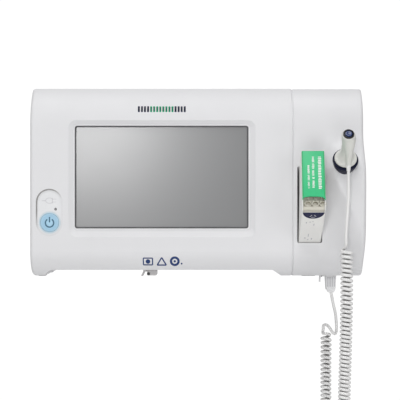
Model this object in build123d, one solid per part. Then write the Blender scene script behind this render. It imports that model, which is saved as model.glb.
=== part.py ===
from build123d import *
import math
import os

os.makedirs("parts", exist_ok=True)

# Wall-mounted vital-signs monitor with a thermometer module on its right.
# Frame: origin at the centre of the rear bolt pattern on the rear face,
# +X to the right seen from the front, +Z up, the front faces -Y. Millimetres.

# ------------------------------------------------------------------ dimensions
X_LEFT, X_RIGHT = -145.5, 145.5      # overall width 291
X_SEAM_A, X_SEAM_B = 83.4, 84.4      # groove between the body and the module
Y_FRONT, Y_SPLIT, Y_REAR = -115.0, -62.0, -8.0
Z_TOP, Z_BOT = 83.3, -82.5
Z_RECESS = -76.7                     # underside between the two side feet
R_TOP, TOP_C = 41.2, (-73.8, 49.3)   # front top arc: radius, centre (y, z)
R_BOT, BOT_C = 22.0, (-93.0, -60.5)  # front bottom arc
WALL = 2.5
WALL_M = 2.3                         # module wall

GLASS = (-106.6, 45.2, -40.2, 49.6)  # clear opening x0 x1 z0 z1
BEVEL = (-111.8, 51.3, -47.8, 54.8)  # outer edge of the sloped surround

BTN = (-128.3, -35.0)                # power button centre (x, z)
BTN_R = 8.1
CAPS_X, CAPS_Z0, CAPS_Z1, CAPS_R = -128.55, -46.7, -5.7, 11.5

BOX_TILT = 30.0                      # cover box rises towards the front
BOX_C = (98.3, -115.0, -19.2)
BOX_W, BOX_H, BOX_L = 19.3, 56.6, 104.0
BOX_FRONT = 42.3                     # front end of the box along its axis
BOX_X = 99.05                        # centre of the box across its width

WELL_TILT = 32.0
WELL_P = (126.5, -137.0, 20.4)       # centre of the well lip's front face

CORD_D = 2.7
COIL_F, COIL_B = 10.4, 9.8           # outer diameters of the two coil runs


# --------------------------------------------------------------------- helpers
def box(x0, x1, y0, y1, z0, z1):
    return Pos((x0 + x1) / 2, (y0 + y1) / 2, (z0 + z1) / 2) * Box(x1 - x0, y1 - y0, z1 - z0)


def rod(p, d, r, h):
    pl = Plane(origin=p, z_dir=d)
    return pl * Cylinder(r, h, align=(Align.CENTER, Align.CENTER, Align.MIN))


def cone(p, d, r0, r1, h):
    pl = Plane(origin=p, z_dir=d)
    return pl * Cone(r0, r1, h, align=(Align.CENTER, Align.CENTER, Align.MIN))


def rod_y(x, z, r, y0, y1):
    return rod((x, y0, z), (0, 1, 0), r, y1 - y0)


def rod_x(y, z, r, x0, x1):
    return rod((x0, y, z), (1, 0, 0), r, x1 - x0)


def rod_z(x, y, r, z0, z1):
    return rod((x, y, z0), (0, 0, 1), r, z1 - z0)


def slab_y(x0, x1, z0, z1, r, y0, y1):
    # plate with rounded corners, its faces square to Y
    sk = Plane.XZ * (Pos((x0 + x1) / 2, (z0 + z1) / 2) * RectangleRounded(x1 - x0, z1 - z0, r))
    return Pos(0, y0, 0) * extrude(sk, amount=-(y1 - y0))


def tri_arc(c, r, a0, a1):
    f = lambda a: (c[0] + r * math.cos(math.radians(a)), c[1] + r * math.sin(math.radians(a)))
    return ThreePointArc(f(a0), f((a0 + a1) / 2), f(a1))


def profile(t=0.0, floor=None, rear=None):
    # side outline (y, z) of the housings, moved inwards by t
    zt = Z_TOP - t
    zb = (Z_BOT + t) if floor is None else floor
    yr = (Y_REAR if rear is None else rear) - t
    rc = max(12.0 - t, 2.0)
    rt, rb = R_TOP - t, R_BOT - t
    a = math.degrees(math.asin((zt - TOP_C[1]) / rt))
    b = math.degrees(math.asin(min(1.0, (BOT_C[1] - zb) / rb)))
    yt = TOP_C[0] - rt * math.cos(math.radians(a))
    yb = BOT_C[0] - rb * math.cos(math.radians(b))
    parts = [
        Line((Y_FRONT + t, BOT_C[1]), (Y_FRONT + t, TOP_C[1])),
        tri_arc(TOP_C, rt, 180, 180 - a),
        Line((yt, zt), (yr - rc, zt)),
        tri_arc((yr - rc, zt - rc), rc, 90, 0),
        Line((yr, zt - rc), (yr, zb + rc)),
        tri_arc((yr - rc, zb + rc), rc, 0, -90),
        Line((yr - rc, zb), (yb, zb)),
        tri_arc(BOT_C, rb, 180 + b, 180),
    ]
    return make_face(Curve() + parts)


def prism(face, x0, x1):
    return Pos(x0, 0, 0) * extrude(Plane.YZ * face, amount=x1 - x0)


def group(*shapes):
    out = []
    for s in shapes:
        out += list(s.solids())
    return Compound(children=out)


NODES = {}


def keep(name, shape):
    NODES[name] = shape


# ------------------------------------------------------------------ main body
outer = prism(profile(), X_LEFT, X_SEAM_A)
outer = fillet(outer.faces().sort_by(Axis.X)[0].edges(), 3.0)
outer = fillet(outer.faces().sort_by(Axis.X)[-1].edges(), 0.6)
# underside raised between the side feet, with sloped ends
under = make_face(Polyline((-135.2, Z_BOT - 3), (-135.2, Z_BOT), (-128.9, Z_RECESS), (66.6, Z_RECESS),
                           (74.8, Z_BOT), (74.8, Z_BOT - 3), close=True))
under = fillet(under.vertices().filter_by(lambda v: abs(v.Y - Z_RECESS) < 0.01), 4.0)
outer -= Pos(0, 5, 0) * extrude(Plane.XZ * under, amount=140)
inner = prism(profile(WALL, floor=Z_RECESS + WALL), X_LEFT + WALL, X_SEAM_A - WALL)
front_half = box(-200, 200, -200, Y_SPLIT, -120, 120)
rear_half = box(-200, 200, Y_SPLIT, 50, -120, 120)
shell = outer - inner

# screw posts shared by the two housings: x, z
POSTS = [(-137.5, 66.0), (-137.5, -66.0), (76.0, 66.0), (76.0, -66.0), (-30.0, 77.6), (60.0, -71.2)]
MPOSTS = [(140.4, 70.0), (140.4, -72.0), (89.8, 70.0), (93.0, -77.0)]

front = shell & front_half
for x, z in POSTS:
    depth = -112.6 if abs(z) < 72 else -88.0
    front += (rod_y(x, z, 3.6, depth, Y_SPLIT) & outer)
# surround behind the screen and behind the control strip
front += slab_y(-119.0, 58.0, -54.5, 60.5, 6.0, -112.6, -108.4)
front += slab_y(-143.1, -114.0, -49.5, -3.0, 4.0, -112.6, -110.0)
bevel = loft(Sketch() + [
    Pos(0, Y_FRONT - 0.01, 0) * (Plane.XZ * (Pos((BEVEL[0] + BEVEL[1]) / 2, (BEVEL[2] + BEVEL[3]) / 2) *
                                              RectangleRounded(BEVEL[1] - BEVEL[0], BEVEL[3] - BEVEL[2], 7.0))),
    Pos(0, Y_FRONT + 2.4, 0) * (Plane.XZ * (Pos((GLASS[0] + GLASS[1]) / 2, (GLASS[2] + GLASS[3]) / 2) *
                                             RectangleRounded(GLASS[1] - GLASS[0] + 2.4, GLASS[3] - GLASS[2] + 2.4, 3.2)))])
front -= bevel
front += slab_y(GLASS[0] - 1.2, GLASS[1] + 1.2, GLASS[2] - 1.2, GLASS[3] + 1.2, 3.2, -113.1, -111.8)
front -= slab_y(*GLASS, 2.2, -116, -100)
front -= slab_y(GLASS[0] - 3.4, GLASS[1] + 3.4, GLASS[2] - 3.4, GLASS[3] + 3.4, 2.0, -111.7, -100)
# control strip pocket, button bore and lamp bore
front -= slab_y(CAPS_X - CAPS_R, CAPS_X + CAPS_R, CAPS_Z0, CAPS_Z1, CAPS_R - 0.02, -116, -113.2)
front -= rod_y(*BTN, BTN_R + 0.3, -116, -108)
front -= rod_y(-123.1, -23.3, 1.2, -116, -108)
# pilot bores for the housing screws
for x, z in POSTS:
    front -= rod_y(x, z, 1.5, -77.0, Y_SPLIT + 1)
# opening for the hose port under the body, and a fine groove at the parting line
front -= box(-50.5, -34.5, -98.5, -80.5, -80, -70)
ring = prism(profile(-1.0), X_LEFT - 1, X_SEAM_A + 1) - prism(profile(0.5), X_LEFT + 0.5, X_SEAM_A - 0.5)
front -= ring & box(-200, 200, Y_SPLIT - 0.5, Y_SPLIT, -120, 120)
keep("front_housing", front)

rear = shell & rear_half
for x, z in POSTS:
    rear += rod_y(x, z, 4.4, Y_SPLIT, -9.0) & prism(profile(0.6), X_LEFT + 0.6, X_SEAM_A - 0.6)
# raised pad that carries the mounting plate
rear += slab_y(-54.0, 54.0, -54.0, 54.0, 8.0, -12.5, -3.2)
for sx in (-1, 1):
    for sz in (-1, 1):
        rear -= rod_y(sx * 37.5, sz * 37.5, 3.4, -11.0, 0)
        rear -= rod_y(sx * 46.5, sz * 46.5, 1.6, -13.0, 0)
for x, z in POSTS:
    rear -= rod_y(x, z, 1.75, Y_SPLIT - 1, -4)
    rear -= rod_y(x, z, 3.2, -50.0, -4)
# ventilation slots, upper rear
for i in range(-11, 12):
    rear -= slab_y(i * 5.6 - 1.2 - 33.0, i * 5.6 + 1.2 - 33.0, 59.5, 69.5, 1.1, -12, -6)
# loudspeaker slots, lower left seen from the front
for i in range(-3, 4):
    h = math.sqrt(max(0.0, 17.0 ** 2 - (i * 4.6) ** 2))
    rear -= slab_y(-100 - h, -100 + h, -34 + i * 4.6 - 1.1, -34 + i * 4.6 + 1.1, 1.0, -12, -6)
# power inlet, network jack, sensor socket openings
rear -= box(58.0, 75.2, -12, -4, -49.5, -22.5)
rear -= box(59.5, 75.0, -12, -4, -13.0, 1.5)
rear -= rod_x(-40.0, -30.0, 9.2, X_LEFT - 1, X_LEFT + 4)
# battery bay door opening in the underside
rear -= box(-36.0, 50.0, -58.0, -16.6, -80, -72)
keep("rear_housing", rear)

# ------------------------------------------------------------------- display
keep("screen_gasket", slab_y(GLASS[0] - 3.2, GLASS[1] + 3.2, GLASS[2] - 3.2, GLASS[3] + 3.2, 1.8, -111.7, -111.2)
     - slab_y(GLASS[0] + 1.3, GLASS[1] - 1.3, GLASS[2] + 1.3, GLASS[3] - 1.3, 1.2, -113, -110))
keep("touch_glass", slab_y(GLASS[0] - 3.2, GLASS[1] + 3.2, GLASS[2] - 3.2, GLASS[3] + 3.2, 1.8, -111.2, -109.4))
lcd = slab_y(-108.2, 46.8, -41.8, 51.2, 1.0, -109.1, -103.6)
lcd -= slab_y(-106.0, 44.6, -39.6, 49.0, 0.5, -109.2, -108.8)
keep("lcd_panel", lcd)
br = slab_y(-118.5, 57.5, -54.0, 60.0, 3.0, -103.6, -102.4)
br -= slab_y(-98.0, 37.0, -32.0, 41.0, 4.0, -105, -100)
for x in (-115.0, 54.0):
    for z in (-50.0, 56.0):
        br += box(x - 3, x + 3, -108.4, -102.4, z - 3, z + 3)
for x in (-118.5, 55.9):
    br += box(x, x + 1.6, -102.4, -98.0, -40, 44)
for x in (-115.0, 54.0):
    for z in (-50.0, 56.0):
        br -= rod_y(x, z, 1.35, -110, -100)
keep("lcd_bracket", br)
LCD_SCREWS = [rod_y(x, z, 1.1, -108.3, -102.4) + rod_y(x, z, 2.4, -102.4, -101.0)
              for x in (-115.0, 54.0) for z in (-50.0, 56.0)]

# -------------------------------------------------------------- control strip
cx0, cx1 = CAPS_X - CAPS_R + 0.15, CAPS_X + CAPS_R - 0.15
inlay = slab_y(cx0, cx1, CAPS_Z0 + 0.15, CAPS_Z1 - 0.15, CAPS_R - 0.2, -114.2, -113.2)
inlay -= rod_y(*BTN, BTN_R + 0.3, -116, -112)
inlay -= rod_y(-123.1, -23.3, 1.2, -116, -112)
keep("control_inlay", inlay)
btn = rod_y(*BTN, BTN_R, -114.7, -109.0)
btn = fillet(btn.faces().sort_by(Axis.Y)[0].edges(), 0.6)
btn += rod_y(*BTN, BTN_R + 0.9, -109.6, -108.4)
btn += rod_y(*BTN, 2.0, -108.4, -106.2)
keep("power_button", btn)
bb = slab_y(-142.5, -119.5, -48.0, -8.0, 2.0, -100.5, -98.9)
bb += box(-134.0, -122.6, -98.9, -96.4, -22.0, -12.0)
# key switch and charge lamp soldered to the front of the board
bb += box(BTN[0] - 3.1, BTN[0] + 3.1, -103.9, -100.5, BTN[1] - 3.1, BTN[1] + 3.1)
bb += rod_y(*BTN, 1.7, -104.8, -103.9)
bb += box(-123.1 - 1.4, -123.1 + 1.4, -101.4, -100.5, -24.7, -21.9)
keep("button_board", bb)
led = rod_y(-123.1, -23.3, 1.05, -114.35, -101.5) + rod_y(-123.1, -23.3, 2.0, -109.9, -108.9)
keep("charge_lamp_lens", led)

# ------------------------------------------------------- chassis and electronics
ch = slab_y(-128.0, 67.0, -50.5, 66.0, 3.0, -71.5, -70.0)
ch += box(-128.0, 67.0, -71.5, -58.5, 64.5, 66.0)
ch += box(-128.0, -126.5, -71.5, -58.5, -44.0, 66.0)
for x in (-104.0, -62.0, -20.0, 40.0):
    for z in (10.0,):
        ch -= slab_y(x - 6, x + 6, z - 14, z + 14, 3.0, -73, -69)
CH_POST = [(-46.5, 46.5), (46.5, 46.5), (-46.5, -46.5), (46.5, -46.5)]
for x, z in CH_POST:
    ch += rod_y(x, z, 4.0, -70.0, -12.6)
for x, z in CH_POST:
    ch -= rod_y(x, z, 1.6, -30.0, -10.0)
for x, z in [(-120, 58), (60, 58), (-120, -42), (60, -42)]:
    ch += rod_y(x, z, 3.0, -77.0, -71.5)
for x, z in [(-120, 58), (60, 58), (-120, -42), (60, -42)]:
    ch -= rod_y(x, z, 1.2, -78.0, -69.0)
keep("chassis_frame", ch)

pcb = slab_y(-125.0, 65.0, -47.0, 63.0, 2.0, -78.6, -77.0)
for x, z in [(-120, 58), (60, 58), (-120, -42), (60, -42)]:
    pcb -= rod_y(x, z, 1.6, -80, -76)
pcb += box(-30, 2, -81.4, -78.6, 0, 32)
pcb += box(-60, -42, -80.4, -78.6, 22, 36) + box(-60, -42, -80.4, -78.6, 2, 16)
pcb += box(20, 34, -80.2, -78.6, -30, -16)
pcb += box(-110, -70, -86.0, -78.6, -40, -34) + box(-10, 30, -84.5, -78.6, 52, 60)
for i in range(5):
    pcb += rod_y(-104 + i * 9, 50, 3.2, -88.0, -78.6)
for i in range(4):
    pcb += box(38 + i * 6, 41 + i * 6, -79.8, -78.6, 8, 12)
keep("main_board", pcb)
hs = box(-30, 2, -83.0, -81.4, 0, 32)
for i in range(9):
    hs += box(-30 + i * 3.85, -28.8 + i * 3.85, -92.0, -83.0, 0, 32)
keep("heat_sink", hs)
keep("small_screws", group(*LCD_SCREWS, *[rod_y(x, z, 1.1, -78.6, -72.7) + rod_y(x, z, 2.4, -80.0, -78.6)
                                          for x, z in [(-120, 58), (60, 58), (-120, -42), (60, -42)]]))

psu = box(-22.0, 40.0, -66.0, -64.4, -44.0, 60.0)
psu -= rod_y(*(46.5, 46.5), 5.0, -70, -60)
psu += box(-16, 14, -64.4, -44.0, 20, 50)
psu += rod_y(28, 40, 9.0, -64.4, -40.0)
psu += box(-14, 30, -64.4, -50.0, -20, -4)
psu += rod_y(-8, -32, 6.0, -64.4, -44.0) + rod_y(10, -32, 6.0, -64.4, -44.0)
keep("power_supply", psu)
inl = box(58.3, 74.9, -34.0, -8.4, -49.2, -22.8) + slab_y(55.5, 77.5, -52.0, -20.0, 2.5, -8.0, -6.0)
inl += box(58.3, 74.9, -8.4, -6.0, -49.2, -22.8)
inl -= slab_y(60.1, 73.1, -47.4, -24.6, 2.0, -24.0, -4)
for z in (-43.0, -36.0, -29.0):
    inl += box(64.6, 66.6, -24.5, -10.0, z - 2.0, z + 2.0)
keep("power_inlet", inl)
keep("network_jack", box(59.8, 74.7, -30.0, -8.0, -12.7, 1.2) - box(61.6, 72.9, -22.0, -4, -10.6, -2.6)
     - box(64.8, 69.8, -22.0, -4, -2.6, -0.6))

bat = box(-33.0, 47.0, -56.5, -18.5, -73.4, -53.0)
bat = fillet(bat.edges().filter_by(Axis.X), 5.0)
bat += box(47.0, 49.0, -48.0, -28.0, -70.0, -58.0)
keep("battery_pack", bat)
# battery bay moulded into the rear housing
BAY = box(-37.5, 51.5, -60.0, -58.0, -75.0, -50.8) + box(-37.5, 51.5, -60.0, -14.6, -52.6, -50.8) \
    + box(-37.5, 51.5, -16.4, -14.6, -72.4, -50.8) + box(-37.5, -36.0, -60.0, -14.6, -75.0, -50.8)

# battery door: swings down about a pin along X at its rear edge
HY, HZ = -14.2, -75.4
door = box(-35.6, 49.6, -57.6, -17.0, Z_RECESS, Z_RECESS + 1.9)
for x0, x1 in ((-28.0, -16.0), (30.0, 42.0)):
    door += rod_x(HY, HZ, 2.0, x0, x1) + box(x0, x1, -17.2, HY, Z_RECESS + 0.0, Z_RECESS + 1.9)
door -= rod_x(HY, HZ, 1.05, -50, 60)
door -= rod_z(7.0, -54.6, 1.6, -80, -70)
for i in range(5):
    door -= box(-2.0 + i * 4.0, -0.4 + i * 4.0, -50.0, -44.0, Z_RECESS - 1, Z_RECESS + 0.6)
keep("battery_door", door)
rear = NODES["rear_housing"] + BAY
for x0, x1 in ((-28.3, -15.7), (29.7, 42.3)):
    rear -= box(x0, x1, -17.2, -11.4, -80, -72.6)
for x0, x1 in ((-33.5, -28.3), (-15.7, -10.5), (24.5, 29.7), (42.3, 47.5)):
    rear += rod_x(HY, HZ, 2.1, x0, x1)
rear -= rod_x(HY, HZ, 1.02, -34, 48)
for x, z in POSTS:
    rear -= rod_y(x, z, 1.75, Y_SPLIT - 1, -4)
keep("rear_housing", rear)
keep("door_hinge_pins", group(rod_x(HY, HZ, 1.0, -33.3, -10.7), rod_x(HY, HZ, 1.0, 24.7, 47.3)))

# ------------------------------------------------------- blood pressure pneumatics
keep("bp_board", slab_y(-124.0, -58.0, -30.0, 56.0, 2.0, -66.0, -64.4) - rod_y(-46.5, 46.5, 5, -70, -60))
PY, PZ = -44.0, 34.0
pump = rod_x(PY, PZ, 13.5, -120.0, -92.0) + box(-92.0, -76.0, PY - 13.5, PY + 13.5, PZ - 15, PZ + 15)
pump += rod_z(-84.0, PY, 2.0, PZ - 21, PZ - 15)
pump -= rod_x(PY, PZ, 2.1, -125.0, -92.0)
pump -= rod_x(PY, PZ, 11.0, -117.5, -94.0)
keep("pump_housing", pump)
rot = rod_x(PY, PZ, 2.05, -122.0, -92.3) + rod_x(PY, PZ, 9.6, -116.0, -96.0)
for k in range(5):
    a = math.radians(72 * k)
    rot -= rod_x(PY + 8.6 * math.cos(a), PZ + 8.6 * math.sin(a), 1.3, -118.0, -94.0)
keep("pump_rotor", rot)
man = box(-92.0, -62.0, -58.0, -34.0, -12.0, 6.0)
for x in (-86.0, -77.0, -68.0):
    man -= rod_z(x, -40.0, 1.5, -4.0, 8.0)
keep("air_manifold", man)
keep("air_valves", group(*[box(x - 5.6, x + 5.6, -57.0, -35.0, -30.0, -12.0) + rod_y(x, -21.0, 4.0, -35.0, -28.0)
                           for x in (-84.0, -70.0)]))
keep("air_hose", rod_z(-84.0, PY, 3.2, 6.0, PZ - 15.2) - rod_z(-84.0, PY, 2.1, 5.0, PZ))

# hose port under the body with its release lever
port = box(-44.2, -35.4, -96.0, -83.0, -82.3, -72.0)
port = fillet(port.edges().filter_by(Axis.Y).sort_by(Axis.Z)[:2], 1.2)
port += box(-50.2, -34.8, -98.2, -80.8, -76.2, -74.2) + rod_z(-39.8, -89.5, 3.0, -72.0, -62.0)
port -= rod_z(-39.8, -89.5, 2.6, -83.0, -74.5)
port -= rod_y(-42.9, -80.9, 0.95, -97.0, -90.0)
port += box(-47.6, -44.2, -94.2, -91.9, -79.0, -76.2) + box(-47.6, -44.2, -87.1, -84.8, -79.0, -76.2)
port -= rod_y(-46.2, -77.8, 0.75, -95.0, -84.0)
keep("hose_port", port)
keep("hose_port_catch", rod_y(-42.9, -80.9, 1.35, -97.2, -96.0) + rod_y(-42.9, -80.9, 0.9, -96.0, -90.5))
lev = rod_y(-46.2, -77.8, 1.35, -91.6, -87.4)
lever_sk = make_face(Polyline((-46.9, -77.2), (-45.5, -78.4), (-48.0, -83.2), (-49.8, -82.9), close=True))
lev += Pos(0, -87.4, 0) * extrude(Plane.XZ * lever_sk, amount=4.2)
lev -= rod_y(-46.2, -77.8, 0.75, -95.0, -84.0)
keep("hose_release_lever", lev)
keep("lever_pin", rod_y(-46.2, -77.8, 0.70, -94.0, -85.0))

# pulse-oximetry board and its socket in the left side
keep("oximetry_board", box(-116.0, -72.0, -56.0, -54.4, -64.0, -36.0) + box(-108, -96, -54.4, -51.0, -58, -46)
     + box(-86, -78, -54.4, -52.4, -50, -42))
sock = rod_x(-40.0, -30.0, 9.0, X_LEFT - 0.6, X_LEFT + 2.6) + rod_x(-40.0, -30.0, 7.6, X_LEFT + 2.6, -128.0)
sock -= rod_x(-40.0, -30.0, 6.0, X_LEFT - 2, -134.0)
keep("sensor_socket", sock)

spk = rod_y(-100.0, -34.0, 18.5, -14.5, -10.6) + rod_y(-100.0, -34.0, 12.0, -20.0, -14.5)
spk -= rod_y(-100.0, -34.0, 16.5, -12.0, -10.0)
keep("loudspeaker", spk)

# -------------------------------------------------------------------- mounting
mp = slab_y(-52.0, 52.0, -52.0, 52.0, 7.0, -3.0, 0.0)
for sx in (-1, 1):
    for sz in (-1, 1):
        mp -= rod_y(sx * 37.5, sz * 37.5, 2.0, -5.0, 1.0)
        mp -= rod_y(sx * 46.5, sz * 46.5, 1.7, -5.0, 1.0)
        mp -= cone((sx * 46.5, -1.7, sz * 46.5), (0, 1, 0), 1.7, 3.4, 1.71)
mp -= rod_y(0, 0, 14.0, -5.0, 1.0)
keep("mount_plate", mp)
keep("mount_screws", group(*[rod_y(x, z, 1.5, -27.0, -1.7) + cone((x, -1.75, z), (0, 1, 0), 1.5, 3.1, 1.6)
                             for x, z in CH_POST]))
keep("housing_screws", group(*[rod_y(x, z, 1.45, -69.0, -50.0) + rod_y(x, z, 2.8, -50.0, -47.9)
                               for x, z in POSTS + MPOSTS]))

# ------------------------------------------------------------ thermometer module
mo = prism(profile(), X_SEAM_B, X_RIGHT)
mo = fillet(mo.faces().sort_by(Axis.X)[-1].edges(), 3.0)
mo = fillet(mo.faces().sort_by(Axis.X)[0].edges(), 0.6)
mi = prism(profile(WALL_M), X_SEAM_B + WALL_M, X_RIGHT - WALL_M)

# forward swelling of the module around and below the probe well: (z, rise)
SWELL = [(44.0, 0.0), (36.3, 1.6), (29.4, 5.0), (22.5, 9.0), (15.6, 12.6), (8.8, 15.6), (-5.0, 17.4),
         (-22.0, 17.6), (-39.4, 17.2), (-46.3, 16.0), (-53.0, 13.6), (-60.0, 8.6), (-67.0, 3.8), (-74.0, 0.6)]


def swell_face(k, drop, x):
    pts = [(Y_FRONT - k * a + drop, z) for z, a in SWELL]
    pts = [(min(y, -100.5), z) for y, z in pts]
    ln = Curve() + [Spline(*pts), Line(pts[-1], (-100.0, pts[-1][1])),
                    Line((-100.0, pts[-1][1]), (-100.0, pts[0][1])), Line((-100.0, pts[0][1]), pts[0])]
    return Pos(x, 0, 0) * (Plane.YZ * make_face(ln))


def swell(drop, x0, x1, x2):
    a = loft(Sketch() + [swell_face(0.02, drop, x0), swell_face(1.0, drop, x1)], ruled=True)
    b = extrude(swell_face(1.0, drop, x1), amount=x2 - x1)
    return a + b


sw_out = swell(0.0, 112.0, 127.0, X_RIGHT - 0.4)
sw_in = swell(WALL_M, 114.5, 129.5, X_RIGHT - WALL_M)
u = (0.0, -math.cos(math.radians(BOX_TILT)), math.sin(math.radians(BOX_TILT)))
v = (0.0, math.sin(math.radians(BOX_TILT)), math.cos(math.radians(BOX_TILT)))
box_plane = Plane(origin=BOX_C, x_dir=(1, 0, 0), z_dir=u)   # local x = X, local y = +v


def along_box(x0, x1, h0, h1, s0, s1):
    # block in the tilted frame of the cover box: x, height across, length along
    return box_plane * (Pos((x0 + x1) / 2 - BOX_C[0], (h0 + h1) / 2, (s0 + s1) / 2) * Box(x1 - x0, h1 - h0, s1 - s0))


d = (0.0, -math.cos(math.radians(WELL_TILT)), math.sin(math.radians(WELL_TILT)))


def wp(t, dx=0.0):
    return (WELL_P[0] + dx, WELL_P[1] + d[1] * t, WELL_P[2] + d[2] * t)


def well_rod(r, t0, t1):
    return rod(wp(t0), d, r, t1 - t0)


m_front = (mo & front_half) + sw_out
m_front -= (mi & box(-200, 200, -200, Y_SPLIT + 1, -120, 120))
m_front -= sw_in
m_front -= box(110.0, X_RIGHT - WALL_M, -112.0, Y_SPLIT + 1, -78.0, 46.0)
for x, z in MPOSTS[:3]:
    m_front += rod_y(x, z, 3.4, -104.0, Y_SPLIT) & mo
m_front += rod_y(MPOSTS[3][0], MPOSTS[3][1], 3.4, -71.5, Y_SPLIT) & mo
m_front -= along_box(87.6, 109.2, -29.0, 29.0, -20, 60)
m_front -= well_rod(8.6, -40.0, 10.0)
for x, z in MPOSTS:
    m_front -= rod_y(x, z, 1.5, -70.0, Y_SPLIT + 1)
mring = prism(profile(-1.0), X_SEAM_B - 1, X_RIGHT + 1) - prism(profile(0.5), X_SEAM_B + 0.5, X_RIGHT - 0.5)
m_front -= mring & box(-200, 200, Y_SPLIT - 0.5, Y_SPLIT, -120, 120)

m_rear = (mo - mi) & rear_half
for x, z in MPOSTS:
    m_rear += rod_y(x, z, 4.3, Y_SPLIT, -9.0) & prism(profile(0.6), X_SEAM_B + 0.6, X_RIGHT - 0.6)
for x, z in MPOSTS:
    m_rear -= rod_y(x, z, 1.75, Y_SPLIT - 1, -4)
    m_rear -= rod_y(x, z, 3.2, -50.0, -4)
for i in range(6):
    m_rear -= slab_y(100.0 + i * 5.6 - 1.2, 100.0 + i * 5.6 + 1.2, 50.0, 62.0, 1.1, -12, -6)
# plug opening in the underside
PLUG_X, PLUG_Y = 123.3, -54.0
m_rear -= box(PLUG_X - 6.4, PLUG_X + 6.4, PLUG_Y - 6.4, PLUG_Y + 6.4, -90, -78)

# tie bolts through both side walls, with a spacer in the groove
TIES = [(-40.0, 50.0), (-90.0, 55.5), (-40.0, -54.5)]
front = NODES["front_housing"]
rear = NODES["rear_housing"]
for y, z in TIES:
    hole = rod_x(y, z, 2.2, 78.0, 84.2)
    boss = rod_x(y, z, 4.6, X_SEAM_A, 95.0) - rod_x(y, z, 2.05, 80.0, 94.0)
    if y < Y_SPLIT:
        front -= hole
        m_front = (m_front - rod_x(y, z, 2.05, 80.0, 94.0)) + boss
    else:
        rear -= hole
        m_rear = (m_rear - rod_x(y, z, 2.05, 80.0, 94.0)) + boss
keep("front_housing", front)
keep("rear_housing", rear)
keep("module_tie_bolts", group(*[rod_x(y, z, 2.0, X_SEAM_A - WALL, 93.5) + rod_x(y, z, 3.6, X_SEAM_A - WALL - 2.6, X_SEAM_A - WALL)
                                 for y, z in TIES]))

# rubber feet let into the undersides
FEET = [(-139.0, -80.0, 6.0), (-139.0, -32.0, 6.0), (100.0, -80.0, 12.0), (100.0, -32.0, 12.0)]
feet = []
for x, y, w in FEET:
    pocket = box(x - w / 2 - 0.2, x + w / 2 + 0.2, y - 7.2, y + 7.2, -90, -81.7)
    f = box(x - w / 2, x + w / 2, y - 7, y + 7, -83.3, -81.7)
    f = fillet(f.edges().filter_by(Axis.Z), 2.0)
    feet.append(f)
    if x < 0:
        if y < Y_SPLIT:
            NODES["front_housing"] -= pocket
        else:
            NODES["rear_housing"] -= pocket
    else:
        if y < Y_SPLIT:
            m_front -= pocket
        else:
            m_rear -= pocket
keep("rubber_feet", group(*feet))
keep("module_front_cover", m_front)
keep("module_rear_cover", m_rear)

# chute that holds the box of probe covers
chute = along_box(87.0, 110.6, -30.4, 30.4, -63.8, 20) - along_box(88.0, 109.0, -29.0, 29.0, -62.2, 40)
chute &= box(80, 120, -112.4, 0, -100, 100)
for hh in (-14.0, 0.0, 14.0):
    chute -= along_box(106, 115, hh - 4.0, hh + 4.0, -46, -10)
keep("box_chute", chute)

# probe well: coloured collar and removable cup
collar = well_rod(11.0, -3.0, 0.0)
collar = fillet(collar.edges(), 0.9)
collar += well_rod(8.2, -24.0, -3.0) + well_rod(9.6, -6.0, -2.5)
collar -= well_rod(6.9, -30.0, 2.0) + well_rod(8.0, -1.6, 2.0)
keep("well_collar", collar)
cup = well_rod(6.7, -104.0, 0.0 - 0.05) + well_rod(7.8, -1.6, -0.05)
cup -= well_rod(5.5, -102.8, 5.0)
keep("well_cup", cup)
tb = box(112.4, 114.0, -98.0, -22.0, 22.0, 64.0) + box(114.0, 117.0, -60.0, -46.0, 34.0, 50.0) \
    + box(114.0, 116.0, -84.0, -74.0, 46.0, 56.0)
keep("thermometer_board", tb)
# socket and plug of the probe lead, in the module's underside
socket = box(PLUG_X - 6.2, PLUG_X + 6.2, PLUG_Y - 6.2, PLUG_Y + 6.2, -82.4, -64.0)
socket -= box(PLUG_X - 4.2, PLUG_X + 4.2, PLUG_Y - 4.2, PLUG_Y + 4.2, -90.0, -68.0)
keep("plug_socket", socket)
pl = loft(Sketch() + [
    Pos(PLUG_X, PLUG_Y, -83.0) * RectangleRounded(10.4, 9.6, 1.4),
    Pos(PLUG_X, PLUG_Y, -97.5) * RectangleRounded(8.8, 8.0, 1.4)])
pl += loft(Sketch() + [
    Pos(PLUG_X, PLUG_Y, -97.5) * RectangleRounded(8.8, 8.0, 1.4),
    Pos(PLUG_X + 0.6, PLUG_Y, -100.6) * RectangleRounded(5.2, 4.8, 1.4)])
pl += box(PLUG_X - 4.0, PLUG_X + 4.0, PLUG_Y - 4.0, PLUG_Y + 4.0, -83.0, -69.0)
for i in range(5):
    pl -= box(PLUG_X - 3.6 + i * 1.6, PLUG_X - 2.9 + i * 1.6, PLUG_Y - 5.2, PLUG_Y - 4.1, -96.0, -86.0)
keep("probe_plug", pl)
LX, LZ = 116.6, -84.4
lt = rod_y(LX, LZ, 0.9, PLUG_Y - 2.4, PLUG_Y + 2.4)
hook = make_face(Polyline((LX, LZ + 0.9), (LX, LZ - 0.9), (114.6, -85.0), (114.2, -86.2), (114.0, -90.9), (112.9, -90.9),
                          (113.1, -85.6), (114.0, -84.0), (115.2, -83.5), close=True))
lt += Pos(0, PLUG_Y + 2.4, 0) * extrude(Plane.XZ * hook, amount=4.8)
keep("plug_latch", lt)
pl = NODES["probe_plug"]
pl += box(LX - 0.9, PLUG_X - 4.6, PLUG_Y + 2.7, PLUG_Y + 3.9, LZ - 1.0, LZ + 1.0) + box(LX - 0.9, PLUG_X - 4.6, PLUG_Y - 3.9, PLUG_Y - 2.7, LZ - 1.0, LZ + 1.0)
keep("probe_plug", pl)

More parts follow.
